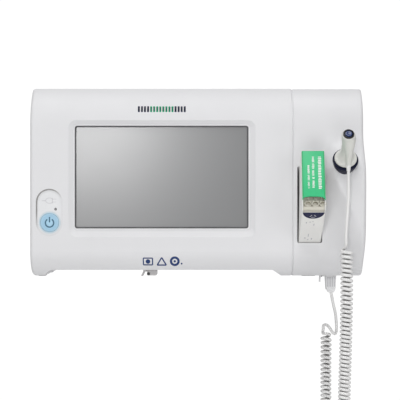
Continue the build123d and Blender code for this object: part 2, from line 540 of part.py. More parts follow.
# ----------------------------------------------------------------- cover box
bx0, bx1 = BOX_X - BOX_W / 2, BOX_X + BOX_W / 2
s1, s0 = BOX_FRONT, BOX_FRONT - BOX_L
hb = BOX_H / 2
carton = along_box(bx0, bx1, -hb, hb, s0, s1) - along_box(bx0 + 0.6, bx1 - 0.6, -hb + 0.6, hb - 0.6, s0 + 0.6, s1 - 0.6)
# torn-away strip at the lower end and along the first part of the underside
carton -= along_box(bx0 + 0.6, bx1 - 0.6, -hb - 1, -hb + 11.5, s1 - 1.2, s1 + 1)
carton -= along_box(bx0 - 1, bx1 + 1, -hb - 1, -hb + 9.0, s1 - 2.2, s1 + 1)
carton -= along_box(bx0 + 0.6, bx1 - 0.6, -hb - 1, -hb + 0.7, s1 - 10.0, s1 + 1)
keep("cover_carton", carton)
tubes = []
n = 0
rows = 10
for j in range(rows):
    hh = hb - 3.8 - j * 5.42
    cols = (-6.15, 0.0, 6.15) if j % 2 == 1 else (-3.08, 3.08)
    for c in cols:
        x = BOX_X + c
        base = box_plane * (Pos(x - BOX_C[0], hh, s0 + 1.0) * Cylinder(2.25, 98.0, align=(Align.CENTER, Align.CENTER, Align.MIN)))
        lip = box_plane * (Pos(x - BOX_C[0], hh, s0 + 99.0) * Cylinder(2.65, 1.6, align=(Align.CENTER, Align.CENTER, Align.MIN)))
        bore = box_plane * (Pos(x - BOX_C[0], hh, s0 + 2.0) * Cylinder(1.75, 100.0, align=(Align.CENTER, Align.CENTER, Align.MIN)))
        tubes.append(base + lip - bore)
keep("probe_covers", group(*tubes))

# --------------------------------------------------------------------- probe
flange = well_rod(9.3, 0.05, 3.0)
flange = fillet(flange.edges(), 0.8)
hand = flange
hand += cone(wp(2.5), d, 7.4, 5.6, 7.5)
hand += cone(wp(10.0), d, 5.6, 6.5, 20.0)
hand += well_rod(6.5, 30.0, 33.6)
EXIT = (128.0, -147.6, 14.6)
head_c = (126.7, -162.5, 36.6)
ax = Vector(EXIT[0] - head_c[0], EXIT[1] - head_c[1], EXIT[2] - head_c[2])
hand += cone(head_c, (ax.X, ax.Y, ax.Z), 5.6, 2.9, ax.length - 0.6)
hand -= rod_z(EXIT[0], EXIT[1], 5.0, EXIT[2] - 6.0, EXIT[2] + 0.4)
hand -= well_rod(4.75, 22.6, 40.0)
hand -= well_rod(2.6, 4.0, 30.0)
hand -= well_rod(2.02, -1.0, 6.0)
keep("probe_handle", hand)
keep("lead_relief", cone((EXIT[0], EXIT[1], EXIT[2] + 0.4), (0, 0, -1), 2.3, 1.5, 6.1))
shaft = well_rod(2.0, -92.0, 6.0) - well_rod(1.3, -90.0, 7.0)
keep("probe_shaft", shaft)
keep("probe_tip", fillet(well_rod(1.9, -98.0, -92.0).faces().sort_by(Axis((0, 0, 0), d))[0].edges(), 1.2))
bez = well_rod(4.7, 26.0, 34.2) - well_rod(4.0, 20.0, 40.0)
keep("button_bezel", bez)
eb = well_rod(3.9, 27.2, 35.4)
eb = fillet(eb.faces().sort_by(Axis((0, 0, 0), d))[-1].edges(), 0.9)
eb += well_rod(1.2, 12.0, 27.5)
keep("eject_button", eb)
hel = Helix(pitch=1.6, height=8.0, radius=1.85, center=wp(14.0), direction=d)
prof = Plane(origin=hel @ 0, z_dir=hel % 0) * Circle(0.28)
keep("eject_spring", sweep(prof, path=hel, is_frenet=True))

# ------------------------------------------------------------------ lead route
ROUTE_TAIL_F = [(128.0, -147.6, 8.8), (128.3, -147.9, -6.0), (127.5, -147.0, -25.0), (126.1, -146.0, -42.0),
                (126.4, -145.4, -57.0)]
ROUTE_COIL_F = [(126.4, -145.4, -57.0), (127.0, -145.0, -90.0), (126.4, -144.6, -124.0), (125.6, -143.4, -158.0),
                (124.9, -141.6, -192.0), (124.3, -138.2, -222.0), (123.5, -130.6, -248.0), (122.4, -116.0, -266.5)]
U_F, U_B = (121.5, -106.5, -270.6), (120.9, -91.5, -270.6)
ROUTE_COIL_B = [(120.1, -80.0, -266.0), (119.4, -66.0, -247.0), (119.0, -59.4, -221.0), (118.8, -57.2, -194.0),
                (119.1, -56.0, -168.0), (120.4, -55.2, -144.0), (121.6, -54.8, -134.0)]
ROUTE_TAIL_B = [(121.6, -54.8, -136.5), (125.8, -54.4, -133.0), (127.6, -54.2, -127.0), (126.0, -54.0, -118.0),
                (124.2, -54.1, -109.5), (123.9, -54.0, -100.6)]


def tube(points, diameter, name):
    pts = [Vector(*p) for p in points]
    radii = []
    for a, b, c in zip(pts, pts[1:], pts[2:]):
        r1, r2 = b - a, c - b
        turn = math.radians(r1.get_angle(r2))
        radii.append(0.45 * min(r1.length, r2.length) / math.tan(turn / 2))
    print(name, "radii", [round(r, 1) for r in radii], "runs", [round((b - a).length, 1) for a, b in zip(pts, pts[1:])])
    path = FilletPolyline(*pts, radius=radii)
    prof = Plane(origin=path @ 0, z_dir=path % 0) * Circle(diameter / 2)
    s = sweep(prof, path=path)
    want = math.pi * diameter ** 2 / 4 * path.length
    print(name, "length %.1f volume ratio %.4f" % (path.length, s.volume / want))
    return s


mid_a = (121.215, -99.15, -270.6)
mid_b = (121.185, -98.85, -270.6)
keep("lead_tail_front", tube(ROUTE_TAIL_F, CORD_D, "lead_tail_front"))
keep("lead_coil_front", tube(ROUTE_COIL_F + [U_F, mid_a], COIL_F, "lead_coil_front"))
keep("lead_coil_back", tube([mid_b, U_B] + ROUTE_COIL_B, COIL_B, "lead_coil_back"))
keep("lead_tail_back", tube(ROUTE_TAIL_B, CORD_D, "lead_tail_back"))

# --------------------------------------------------------------------- output
for name, shape in NODES.items():
    export_step(shape, "parts/%s.step" % name)
print(len(NODES), "nodes")
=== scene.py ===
import math

import bmesh
import bpy
import numpy as np
from mathutils import Matrix, Vector


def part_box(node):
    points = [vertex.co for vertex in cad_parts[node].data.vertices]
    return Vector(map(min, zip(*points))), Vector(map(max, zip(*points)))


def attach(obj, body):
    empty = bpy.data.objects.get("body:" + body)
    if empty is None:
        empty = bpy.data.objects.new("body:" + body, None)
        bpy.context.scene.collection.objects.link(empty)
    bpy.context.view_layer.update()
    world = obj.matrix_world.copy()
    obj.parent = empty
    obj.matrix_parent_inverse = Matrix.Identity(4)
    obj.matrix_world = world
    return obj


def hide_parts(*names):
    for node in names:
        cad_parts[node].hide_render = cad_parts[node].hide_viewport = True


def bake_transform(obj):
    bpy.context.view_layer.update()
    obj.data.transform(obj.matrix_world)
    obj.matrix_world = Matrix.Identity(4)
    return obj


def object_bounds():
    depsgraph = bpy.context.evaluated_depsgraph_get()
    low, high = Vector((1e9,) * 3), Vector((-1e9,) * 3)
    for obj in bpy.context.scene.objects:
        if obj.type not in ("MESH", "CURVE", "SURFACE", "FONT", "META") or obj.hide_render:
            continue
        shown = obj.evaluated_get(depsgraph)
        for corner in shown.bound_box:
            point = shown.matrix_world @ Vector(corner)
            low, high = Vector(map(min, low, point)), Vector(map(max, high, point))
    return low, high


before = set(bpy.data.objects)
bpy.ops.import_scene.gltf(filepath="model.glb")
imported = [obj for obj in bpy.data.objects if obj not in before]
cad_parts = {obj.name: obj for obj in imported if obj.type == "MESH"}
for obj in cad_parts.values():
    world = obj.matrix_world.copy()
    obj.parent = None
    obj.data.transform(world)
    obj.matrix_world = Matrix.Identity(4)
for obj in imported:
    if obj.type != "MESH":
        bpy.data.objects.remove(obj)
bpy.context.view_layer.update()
scene = bpy.context.scene
MM = 0.001


# ---------------------------------------------------------------- mesh helpers
def link(ob):
    scene.collection.objects.link(ob)
    return ob


def mesh_obj(name, verts, faces, mat=None):
    # verts in millimetres
    me = bpy.data.meshes.new(name)
    me.from_pydata([(v[0] * MM, v[1] * MM, v[2] * MM) for v in verts], [], faces)
    me.validate()
    ob = link(bpy.data.objects.new(name, me))
    if mat is not None:
        me.materials.append(mat)
    return ob


def fix_normals(ob):
    bm = bmesh.new()
    bm.from_mesh(ob.data)
    bmesh.ops.recalc_face_normals(bm, faces=bm.faces)
    bm.to_mesh(ob.data)
    bm.free()


def shade(ob, angle=32.0):
    bm = bmesh.new()
    bm.from_mesh(ob.data)
    lim = math.radians(angle)
    for f in bm.faces:
        f.smooth = True
    for e in bm.edges:
        e.smooth = not (len(e.link_faces) == 2 and e.calc_face_angle(0.0) > lim)
    bm.to_mesh(ob.data)
    bm.free()
    return ob


def bake(ob):
    # apply every modifier
    dg = bpy.context.evaluated_depsgraph_get()
    me = bpy.data.meshes.new_from_object(ob.evaluated_get(dg), depsgraph=dg)
    old = ob.data
    ob.modifiers.clear()
    ob.data = me
    bpy.data.meshes.remove(old)
    return ob


def cut(ob, *cutters, op="DIFFERENCE"):
    for c in cutters:
        m = ob.modifiers.new("cut", "BOOLEAN")
        m.operation = op
        m.solver = "EXACT"
        m.object = c
    bpy.context.view_layer.update()
    bake(ob)
    for c in cutters:
        bpy.data.objects.remove(c)
    return ob


def basis(d, up=(0, 0, 1)):
    d = Vector(d).normalized()
    a = d.cross(Vector(up))
    if a.length < 1e-4:
        a = d.cross(Vector((0, 1, 0)))
    a.normalize()
    return a, a.cross(d).normalized(), d


def lathe(name, p, d, prof, seg=72, mat=None, closed=True):
    # prof: (distance along d, radius) pairs, millimetres
    a, b, d = basis(d)
    verts, faces = [], []
    n = len(prof)
    for k in range(seg):
        t = 2 * math.pi * k / seg
        e = a * math.cos(t) + b * math.sin(t)
        for s, r in prof:
            verts.append(tuple(Vector(p) + d * s + e * r))
    for k in range(seg):
        k2 = (k + 1) % seg
        for i in range(n - 1 if not closed else n):
            j = (i + 1) % n
            faces.append((k * n + i, k2 * n + i, k2 * n + j, k * n + j))
    ob = mesh_obj(name, verts, faces, mat)
    bm = bmesh.new()
    bm.from_mesh(ob.data)
    bmesh.ops.remove_doubles(bm, verts=bm.verts, dist=1e-7)
    bmesh.ops.recalc_face_normals(bm, faces=bm.faces)
    bm.to_mesh(ob.data)
    bm.free()
    return ob


def rod(name, p, d, r, h, r2=None, seg=64):
    r2 = r if r2 is None else r2
    return lathe(name, p, d, [(0, 0.0001), (0, r), (h, r2), (h, 0.0001)], seg)


def prism(name, outline, place, depth0, depth1, mat=None):
    # outline: (a, b) points; place(a, b, c) gives the point in millimetres
    n = len(outline)
    verts = [place(a, b, depth0) for a, b in outline] + [place(a, b, depth1) for a, b in outline]
    faces = [tuple(range(n - 1, -1, -1)), tuple(range(n, 2 * n))]
    faces += [(i, (i + 1) % n, n + (i + 1) % n, n + i) for i in range(n)]
    ob = mesh_obj(name, verts, faces, mat)
    fix_normals(ob)
    return ob


def block(name, x0, x1, y0, y1, z0, z1, mat=None):
    return prism(name, [(x0, y0), (x1, y0), (x1, y1), (x0, y1)], lambda a, b, c: (a, b, c), z0, z1, mat)


def round_rect(x0, x1, z0, z1, r, n=6):
    out = []
    for cx, cz, a0 in ((x1 - r, z1 - r, 0), (x0 + r, z1 - r, 90), (x0 + r, z0 + r, 180), (x1 - r, z0 + r, 270)):
        for k in range(n + 1):
            t = math.radians(a0 + 90.0 * k / n)
            out.append((cx + r * math.cos(t), cz + r * math.sin(t)))
    return out


def join(name, obs):
    bm = bmesh.new()
    mats = []
    for o in obs:
        me = o.data.copy()
        me.transform(o.matrix_world)
        off = {}
        for i, m in enumerate(me.materials):
            if m not in mats:
                mats.append(m)
            off[i] = mats.index(m)
        for p in me.polygons:
            p.material_index = off.get(p.material_index, 0)
        bm.from_mesh(me)
        bpy.data.meshes.remove(me)
    me = bpy.data.meshes.new(name)
    bm.to_mesh(me)
    bm.free()
    for m in mats:
        me.materials.append(m)
    for o in obs:
        bpy.data.objects.remove(o)
    return link(bpy.data.objects.new(name, me))


# ------------------------------------------------------------------- materials
def material(name, rgb, rough=0.4, var=0.015, rough_var=0.05, grain=0.06, grain_mm=0.5, grain_depth=0.03,
             mottle_mm=30.0, tint=None, **sockets):
    # rgb in linear light; the noise runs in row-frame metres
    m = bpy.data.materials.new(name)
    m.use_nodes = True
    nt = m.node_tree
    bsdf = nt.nodes["Principled BSDF"]
    co = nt.nodes.new("ShaderNodeTexCoord")
    n1 = nt.nodes.new("ShaderNodeTexNoise")
    n1.inputs["Scale"].default_value = 1000.0 / mottle_mm
    n1.inputs["Detail"].default_value = 5.0
    nt.links.new(co.outputs["Object"], n1.inputs["Vector"])
    ramp = nt.nodes.new("ShaderNodeValToRGB")
    lo = [max(0.0, c * (1 - var)) for c in rgb]
    hi = [min(1.0, c * (1 + var)) for c in rgb] if tint is None else list(tint)
    ramp.color_ramp.elements[0].position = 0.3
    ramp.color_ramp.elements[1].position = 0.7
    ramp.color_ramp.elements[0].color = (*lo, 1)
    ramp.color_ramp.elements[1].color = (*hi, 1)
    nt.links.new(n1.outputs["Fac"], ramp.inputs["Fac"])
    nt.links.new(ramp.outputs["Color"], bsdf.inputs["Base Color"])
    n2 = nt.nodes.new("ShaderNodeTexNoise")
    n2.inputs["Scale"].default_value = 1000.0 / (mottle_mm * 0.35)
    n2.inputs["Detail"].default_value = 4.0
    nt.links.new(co.outputs["Object"], n2.inputs["Vector"])
    mr = nt.nodes.new("ShaderNodeMapRange")
    mr.inputs["From Min"].default_value = 0.3
    mr.inputs["From Max"].default_value = 0.7
    mr.inputs["To Min"].default_value = max(0.02, rough - rough_var)
    mr.inputs["To Max"].default_value = min(1.0, rough + rough_var)
    nt.links.new(n2.outputs["Fac"], mr.inputs["Value"])
    nt.links.new(mr.outputs["Result"], bsdf.inputs["Roughness"])
    if grain > 0:
        n3 = nt.nodes.new("ShaderNodeTexNoise")
        n3.inputs["Scale"].default_value = 1000.0 / grain_mm
        n3.inputs["Detail"].default_value = 3.0
        nt.links.new(co.outputs["Object"], n3.inputs["Vector"])
        bp = nt.nodes.new("ShaderNodeBump")
        bp.inputs["Strength"].default_value = grain
        bp.inputs["Distance"].default_value = grain_depth * MM
        nt.links.new(n3.outputs["Fac"], bp.inputs["Height"])
        nt.links.new(bp.outputs["Normal"], bsdf.inputs["Normal"])
    for k, v in sockets.items():
        bsdf.inputs[k.replace("_", " ")].default_value = v
    return m


M = {
    "housing": material("housing_plastic", (0.775, 0.775, 0.79), 0.52, 0.010, 0.05, 0.18, 0.45, 0.03, Specular_IOR_Level=0.35),
    "module_housing": material("module_plastic", (0.765, 0.765, 0.78), 0.42, 0.010, 0.04, 0.15, 0.45, 0.03),
    "screen_glass": material("screen_glass", (0.197, 0.200, 0.204), 0.265, 0.008, 0.006, 0.0, mottle_mm=90,
                             Specular_IOR_Level=0.9),
    "gasket": material("gasket_rubber", (0.10, 0.10, 0.105), 0.6, 0.05, 0.08, 0.3, 0.3, 0.05),
    "panel_grey": material("panel_grey", (0.30, 0.31, 0.32), 0.45, 0.03, 0.06, 0.1),
    "sheet_steel": material("sheet_steel", (0.55, 0.56, 0.57), 0.34, 0.06, 0.08, 0.1, 0.8, 0.02, Metallic=1.0),
    "mount_steel": material("mount_coating", (0.045, 0.047, 0.05), 0.52, 0.08, 0.08, 0.6, 0.7, 0.06),
    "screw_steel": material("screw_zinc", (0.55, 0.55, 0.56), 0.28, 0.05, 0.08, 0.1, 0.3, 0.02, Metallic=1.0),
    "strip_grey": material("strip_film", (0.745, 0.75, 0.765), 0.33, 0.012, 0.04, 0.2, 0.35, 0.02),
    "lamp_lens": material("lamp_lens", (0.25, 0.25, 0.26), 0.12, 0.03, 0.03, 0.0, Coat_Weight=0.5),
    "board_green": material("solder_mask", (0.02, 0.16, 0.07), 0.35, 0.1, 0.06, 0.1),
    "aluminium": material("aluminium", (0.62, 0.63, 0.64), 0.35, 0.05, 0.06, 0.1, Metallic=1.0),
    "black_plastic": material("black_plastic", (0.022, 0.022, 0.024), 0.42, 0.08, 0.07, 0.4, 0.35, 0.04),
    "battery_wrap": material("battery_wrap", (0.03, 0.06, 0.2), 0.22, 0.06, 0.05, 0.1),
    "valve_white": material("valve_white", (0.6, 0.6, 0.55), 0.4, 0.03, 0.05, 0.1),
    "clear_tube": material("silicone_tube", (0.7, 0.71, 0.7), 0.3, 0.03, 0.05, 0.1),
    "rotor": material("rotor_metal", (0.5, 0.5, 0.52), 0.25, 0.05, 0.06, 0.1, Metallic=1.0),
    "port_grey": material("port_grey", (0.50, 0.485, 0.49), 0.35, 0.03, 0.06, 0.2, 0.35, 0.03),
    "port_black": material("port_black", (0.008, 0.008, 0.009), 0.35, 0.1, 0.08, 0.2),
    "socket_grey": material("socket_grey", (0.11, 0.12, 0.14), 0.4, 0.05, 0.07, 0.3),
    "rubber": material("foot_rubber", (0.30, 0.30, 0.31), 0.7, 0.05, 0.08, 0.5, 0.4, 0.06),
    "navy": material("navy_plastic", (0.003, 0.005, 0.026), 0.42, 0.12, 0.06, 0.2, 0.35, 0.02, Specular_IOR_Level=0.22),
    "eject_navy": material("eject_navy", (0.016, 0.040, 0.150), 0.20, 0.10, 0.03, 0.0, Specular_IOR_Level=0.8),
    "bezel_black": material("bezel_black", (0.003, 0.003, 0.005), 0.30, 0.1, 0.05, 0.1),
    "cup_white": material("cup_white", (0.74, 0.74, 0.74), 0.4, 0.02, 0.05, 0.2),
    "probe_white": material("probe_white", (0.735, 0.735, 0.70), 0.36, 0.018, 0.05, 0.15, 0.4, 0.03),
    "shaft_white": material("shaft_white", (0.78, 0.78, 0.78), 0.22, 0.02, 0.04, 0.0),
    "tip_steel": material("tip_steel", (0.66, 0.66, 0.67), 0.18, 0.04, 0.05, 0.0, Metallic=1.0),
    "spring_steel": material("spring_steel", (0.5, 0.5, 0.5), 0.25, 0.04, 0.05, 0.0, Metallic=1.0),
    "lead_white": material("lead_jacket", (0.86, 0.855, 0.85), 0.42, 0.02, 0.05, 0.25, 0.5, 0.03),
    "groove_shade_grey": material("groove_shade_grey", (0.52, 0.52, 0.54), 0.5, 0.03, 0.05, 0.1, 0.4, 0.02),
    "latch_shade_dark": material("latch_shade_dark", (0.10, 0.10, 0.11), 0.5, 0.03, 0.05, 0.1, 0.3, 0.02),
    "plug_clear": material("plug_plastic", (0.86, 0.86, 0.87), 0.25, 0.03, 0.05, 0.1, 0.4, 0.02),
    "cover_mouth_shade": material("cover_mouth_shade", (0.36, 0.34, 0.26), 0.55, 0.03, 0.05, 0.1, 0.3, 0.02),
    "cover_tube": material("cover_tube", (0.60, 0.575, 0.50), 0.35, 0.05, 0.06, 0.1, 0.4, 0.03),
}
ink_navy = material("ink_navy", (0.042, 0.052, 0.115), 0.5, 0.06, 0.05, 0.0)
ink_green = material("ink_green", (0.055, 0.60, 0.32), 0.5, 0.06, 0.05, 0.0)
ink_grey = material("ink_grey", (0.56, 0.56, 0.58), 0.45, 0.03, 0.05, 0.0)
ink_teal = material("ink_teal", (0.022, 0.115, 0.20), 0.4, 0.05, 0.05, 0.0)
ink_deep = material("ink_deep", (0.008, 0.010, 0.055), 0.5, 0.08, 0.05, 0.0, Specular_IOR_Level=0.3)
ink_blue = material("ink_blue", (0.022, 0.050, 0.17), 0.5, 0.06, 0.05, 0.0, Specular_IOR_Level=0.3)
ink_edge = material("ink_edge", (0.020, 0.40, 0.130), 0.45, 0.05, 0.05, 0.0)
ink_faint = material("ink_faint", (0.64, 0.64, 0.66), 0.5, 0.03, 0.05, 0.0)
ink_white = material("ink_white", (0.80, 0.84, 0.80), 0.45, 0.02, 0.05, 0.0)


def button_material():
    # backlit disc: brighter in the middle, by distance from its own centre
    m = material("button_glow", (0.33, 0.56, 0.74), 0.34, 0.02, 0.04, 0.1, 0.3, 0.02)
    nt = m.node_tree
    bsdf = nt.nodes["Principled BSDF"]
    lo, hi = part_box("power_button")
    c = (lo + hi) / 2
    co = nt.nodes.new("ShaderNodeTexCoord")
    mp = nt.nodes.new("ShaderNodeMapping")
    mp.inputs["Location"].default_value = (-c.x, 0, -c.z)
    mp.inputs["Scale"].default_value = (1, 0, 1)
    nt.links.new(co.outputs["Object"], mp.inputs["Vector"])
    ln = nt.nodes.new("ShaderNodeVectorMath")
    ln.operation = "LENGTH"
    nt.links.new(mp.outputs["Vector"], ln.inputs[0])
    mr = nt.nodes.new("ShaderNodeMapRange")
    mr.inputs["From Min"].default_value = 0.0015
    mr.inputs["From Max"].default_value = 0.0080
    mr.inputs["To Min"].default_value = 0.0
    mr.inputs["To Max"].default_value = 1.0
    nt.links.new(ln.outputs["Value"], mr.inputs["Value"])
    ramp = nt.nodes.new("ShaderNodeValToRGB")
    e = ramp.color_ramp.elements
    e[0].position, e[0].color = 0.0, (0.36, 0.60, 0.77, 1)
    e[1].position, e[1].color = 1.0, (0.37, 0.57, 0.71, 1)
    x = e.new(0.7)
    x.color = (0.30, 0.52, 0.69, 1)
    nt.links.new(mr.outputs["Result"], ramp.inputs["Fac"])
    nt.links.new(ramp.outputs["Color"], bsdf.inputs["Base Color"])
    nt.links.new(ramp.outputs["Color"], bsdf.inputs["Emission Color"])
    bsdf.inputs["Emission Strength"].default_value = 0.04
    return m


M["button_blue"] = button_material()


def carton_material():
    # printed board: green end panel and edge of the sides, white elsewhere, fibre grain
    m = material("carton_board", (0.05, 0.55, 0.27), 0.42, 0.02, 0.05, 0.35, 0.6, 0.05)
    nt = m.node_tree
    bsdf = nt.nodes["Principled BSDF"]
    co = nt.nodes.new("ShaderNodeTexCoord")
    dot = nt.nodes.new("ShaderNodeVectorMath")
    dot.operation = "DOT_PRODUCT"
    dot.inputs[1].default_value = (0.0, -math.cos(math.radians(30)), math.sin(math.radians(30)))
    nt.links.new(co.outputs["Object"], dot.inputs[0])
    c = Vector((98.3, -115.0, -19.2)) * MM
    s_c = c.dot(Vector((0.0, -math.cos(math.radians(30)), math.sin(math.radians(30)))))
    edge = nt.nodes.new("ShaderNodeMapRange")
    edge.inputs["From Min"].default_value = s_c + 0.0413
    edge.inputs["From Max"].default_value = s_c + 0.0416
    nt.links.new(dot.outputs["Value"], edge.inputs["Value"])
    n = nt.nodes.new("ShaderNodeTexNoise")
    n.inputs["Scale"].default_value = 60.0
    n.inputs["Detail"].default_value = 4.0
    nt.links.new(co.outputs["Object"], n.inputs["Vector"])
    green = nt.nodes.new("ShaderNodeValToRGB")
    green.color_ramp.elements[0].position = 0.35
    green.color_ramp.elements[0].color = (0.034, 0.53, 0.215, 1)
    green.color_ramp.elements[1].position = 0.65
    green.color_ramp.elements[1].color = (0.045, 0.56, 0.235, 1)
    nt.links.new(n.outputs["Fac"], green.inputs["Fac"])
    white = nt.nodes.new("ShaderNodeValToRGB")
    white.color_ramp.elements[0].color = (0.83, 0.825, 0.80, 1)
    white.color_ramp.elements[1].color = (0.88, 0.875, 0.855, 1)
    nt.links.new(n.outputs["Fac"], white.inputs["Fac"])
    mix = nt.nodes.new("ShaderNodeMix")
    mix.data_type = "RGBA"
    nt.links.new(edge.outputs["Result"], mix.inputs["Factor"])
    nt.links.new(white.outputs["Color"], mix.inputs["A"])
    nt.links.new(green.outputs["Color"], mix.inputs["B"])
    nt.links.new(mix.outputs["Result"], bsdf.inputs["Base Color"])
    return m


M["carton"] = carton_material()

NODE_SLOT = {
    "front_housing": "housing", "rear_housing": "housing", "screen_gasket": "gasket", "touch_glass": "screen_glass",
    "lcd_panel": "panel_grey", "lcd_bracket": "sheet_steel", "control_inlay": "strip_grey", "power_button": "button_blue",
    "button_board": "board_green", "charge_lamp_lens": "lamp_lens", "chassis_frame": "sheet_steel",
    "main_board": "board_green", "heat_sink": "aluminium", "small_screws": "screw_steel", "power_supply": "board_green",
    "power_inlet": "black_plastic", "network_jack": "black_plastic", "battery_pack": "battery_wrap",
    "battery_door": "housing", "door_hinge_pins": "screw_steel", "bp_board": "board_green",
    "pump_housing": "aluminium", "pump_rotor": "rotor", "air_manifold": "black_plastic", "air_valves": "valve_white",
    "air_hose": "clear_tube", "hose_port": "port_grey", "hose_port_catch": "port_black",
    "hose_release_lever": "port_grey", "lever_pin": "screw_steel", "oximetry_board": "board_green",
    "sensor_socket": "socket_grey", "loudspeaker": "black_plastic", "mount_plate": "mount_steel",
    "mount_screws": "screw_steel", "housing_screws": "screw_steel", "module_tie_bolts": "screw_steel",
    "rubber_feet": "rubber", "module_front_cover": "module_housing", "module_rear_cover": "module_housing",
    "box_chute": "module_housing", "well_collar": "navy", "well_cup": "cup_white", "thermometer_board": "board_green",
    "plug_socket": "socket_grey", "probe_plug": "plug_clear", "plug_latch": "plug_clear", "cover_carton": "carton",
    "probe_covers": "cover_tube", "probe_handle": "probe_white", "lead_relief": "lead_white", "probe_shaft": "shaft_white",
    "probe_tip": "tip_steel", "button_bezel": "bezel_black", "eject_button": "eject_navy",
    "eject_spring": "spring_steel", "lead_tail_front": "lead_white", "lead_coil_front": "lead_white",
    "lead_coil_back": "lead_white", "lead_tail_back": "lead_white",
}
for node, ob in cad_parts.items():
    mat = M[NODE_SLOT[node]]
    for s in ob.material_slots:
        s.material = mat

# ---------------------------------------------------------------------- camera
cam_data = bpy.data.cameras.new("camera")
cam_data.sensor_width = 36.0
cam_data.lens = 103.3
cam = link(bpy.data.objects.new("camera", cam_data))
cam.location = (0.00283, -1.115, -0.01533)
cam.rotation_euler = (math.radians(90), 0, 0)
scene.camera = cam

# ------------------------------------------------------------------- the lead
ROUTE = [
    (128.0, -147.6, 8.8), (128.3, -147.9, -6.0), (127.5, -147.0, -25.0), (126.1, -146.0, -42.0),
    (126.4, -145.4, -57.0), (127.0, -145.0, -90.0), (126.4, -144.6, -124.0), (125.6, -143.4, -158.0),
    (124.9, -141.6, -192.0), (124.3, -138.2, -222.0), (123.5, -130.6, -248.0), (122.4, -116.0, -266.5),
    (121.5, -106.5, -270.6), (120.9, -91.5, -270.6), (120.1, -80.0, -266.0), (119.4, -66.0, -247.0),
    (119.0, -59.4, -221.0), (118.8, -57.2, -194.0), (119.0, -56.0, -168.0), (119.2, -55.4, -150.5),
    (119.3, -55.2, -144.5), (118.8, -54.6, -139.6), (116.8, -53.8, -135.2), (116.4, -55.4, -130.8), (119.4, -58.4, -129.8),
    (122.4, -60.6, -133.2), (124.8, -60.6, -137.6), (127.4, -58.2, -139.0), (128.9, -55.4, -135.8), (128.9, -54.4, -129.0),
    (128.0, -54.2, -119.5), (125.5, -54.1, -109.8), (123.9, -54.0, -100.6),
]
CORD_D = 2.7


def nurbs_line(points):
    cu = bpy.data.curves.new("route", "CURVE")
    cu.dimensions = "3D"
    sp = cu.splines.new("NURBS")
    sp.points.add(len(points) - 1)
    for p, co in zip(sp.points, points):
        p.co = (co[0] * MM, co[1] * MM, co[2] * MM, 1.0)
    sp.order_u = 3
    sp.use_endpoint_u = True
    sp.resolution_u = 40
    ob = link(bpy.data.objects.new("route", cu))
    me = bpy.data.meshes.new_from_object(ob)
    pts = np.array([v.co[:] for v in me.vertices], float)
    bpy.data.objects.remove(ob)
    bpy.data.meshes.remove(me)
    bpy.data.curves.remove(cu)
    return pts / MM


def along(pts, step):
    seg = np.linalg.norm(np.diff(pts, axis=0), axis=1)
    keep = np.r_[True, seg > 1e-6]
    pts = pts[keep]
    s = np.r_[0, np.cumsum(np.linalg.norm(np.diff(pts, axis=0), axis=1))]
    n = int(s[-1] / step) + 1
    t = np.linspace(0, s[-1], n)
    return t, np.stack([np.interp(t, s, pts[:, i]) for i in range(3)], 1)


def transport(pts, first):
    tan = np.gradient(pts, axis=0)
    tan /= np.linalg.norm(tan, axis=1)[:, None]
    n1 = np.zeros_like(pts)
    a = np.array(first, float)
    for i, t in enumerate(tan):
        a = a - t * a.dot(t)
        a /= np.linalg.norm(a)
        n1[i] = a
    return tan, n1, np.cross(tan, n1)


def lead_line():
    line = nurbs_line(ROUTE)
    s, p = along(line, 0.1)
    tan, n1, n2 = transport(p, (1, 0, 0))
    i0 = int(np.argmin(np.linalg.norm(p[: len(p) // 2] - np.array([126.3, -145.6, -51.6]), axis=1)))
    half = len(p) // 2
    i1 = half + int(np.argmin(np.linalg.norm(p[half:] - np.array([116.9, -54.2, -134.0]), axis=1)))
    s0, s1 = s[i0], s[i1]
    u = np.clip((s - s0) / (s1 - s0), 0, 1)
    pitch = np.interp(s - s0, [0, 40, 60, 80, 120, 235, 300, s1 - s0], [3.95, 3.85, 3.7, 3.5, 3.4, 3.45, 3.6, 4.3])
    full = np.interp(u, [0, 0.55, 0.7, 1], [4.1, 4.1, 3.75, 3.8])

    def ease(x):
        x = np.clip(x, 0, 1)
        return x * x * (3 - 2 * x)
    grow = ease((s - s0) / 7.4) * ease((s1 - s) / 6.5)
    radius = full * grow
    ds = np.gradient(s)
    # the turns start slowly, so the lead opens into its first and last loops instead of kinking
    slow = 0.20 / np.sqrt(np.maximum(1 - 0.992 * grow ** 2, 1e-3))
    turn = np.where((s >= s0) & (s <= s1), np.minimum(2 * np.pi / pitch, slow), 0.0)
    phi = (turn * ds).cumsum() + math.radians(60)
    hel = p + radius[:, None] * (np.cos(phi)[:, None] * n1 - np.sin(phi)[:, None] * n2)
    # turns lean a little with the way the lead hangs, so they are not all alike
    wob = 0.10 * np.sin(phi * 0.5 + 0.7) * (radius / 3.85)
    hel = hel + wob[:, None] * tan * np.sin(phi)[:, None]
    # the turns droop a little towards the back as they hang
    off = hel - p
    hang = np.clip((-15.0 - p[:, 2]) / 1000.0, 0, 0.30) * ease((s - s0) / 12.0) * ease((s1 - s) / 4.0)
    hel[:, 2] -= off[:, 1] * hang
    return hel, hel - p


hel, out_h = lead_line()
t_h, path_h = along(hel, 1.0)
s_h = np.r_[0, np.cumsum(np.linalg.norm(np.diff(hel, axis=0), axis=1))]
out_h = np.stack([np.interp(t_h, s_h, out_h[:, i]) for i in range(3)], 1)
path_h = path_h.tolist()
path_h[0] = list(ROUTE[0])
path_h[-1] = list(ROUTE[-1])
path_a = np.array(path_h)
length_mm = float(np.linalg.norm(np.diff(path_a, axis=0), axis=1).sum())


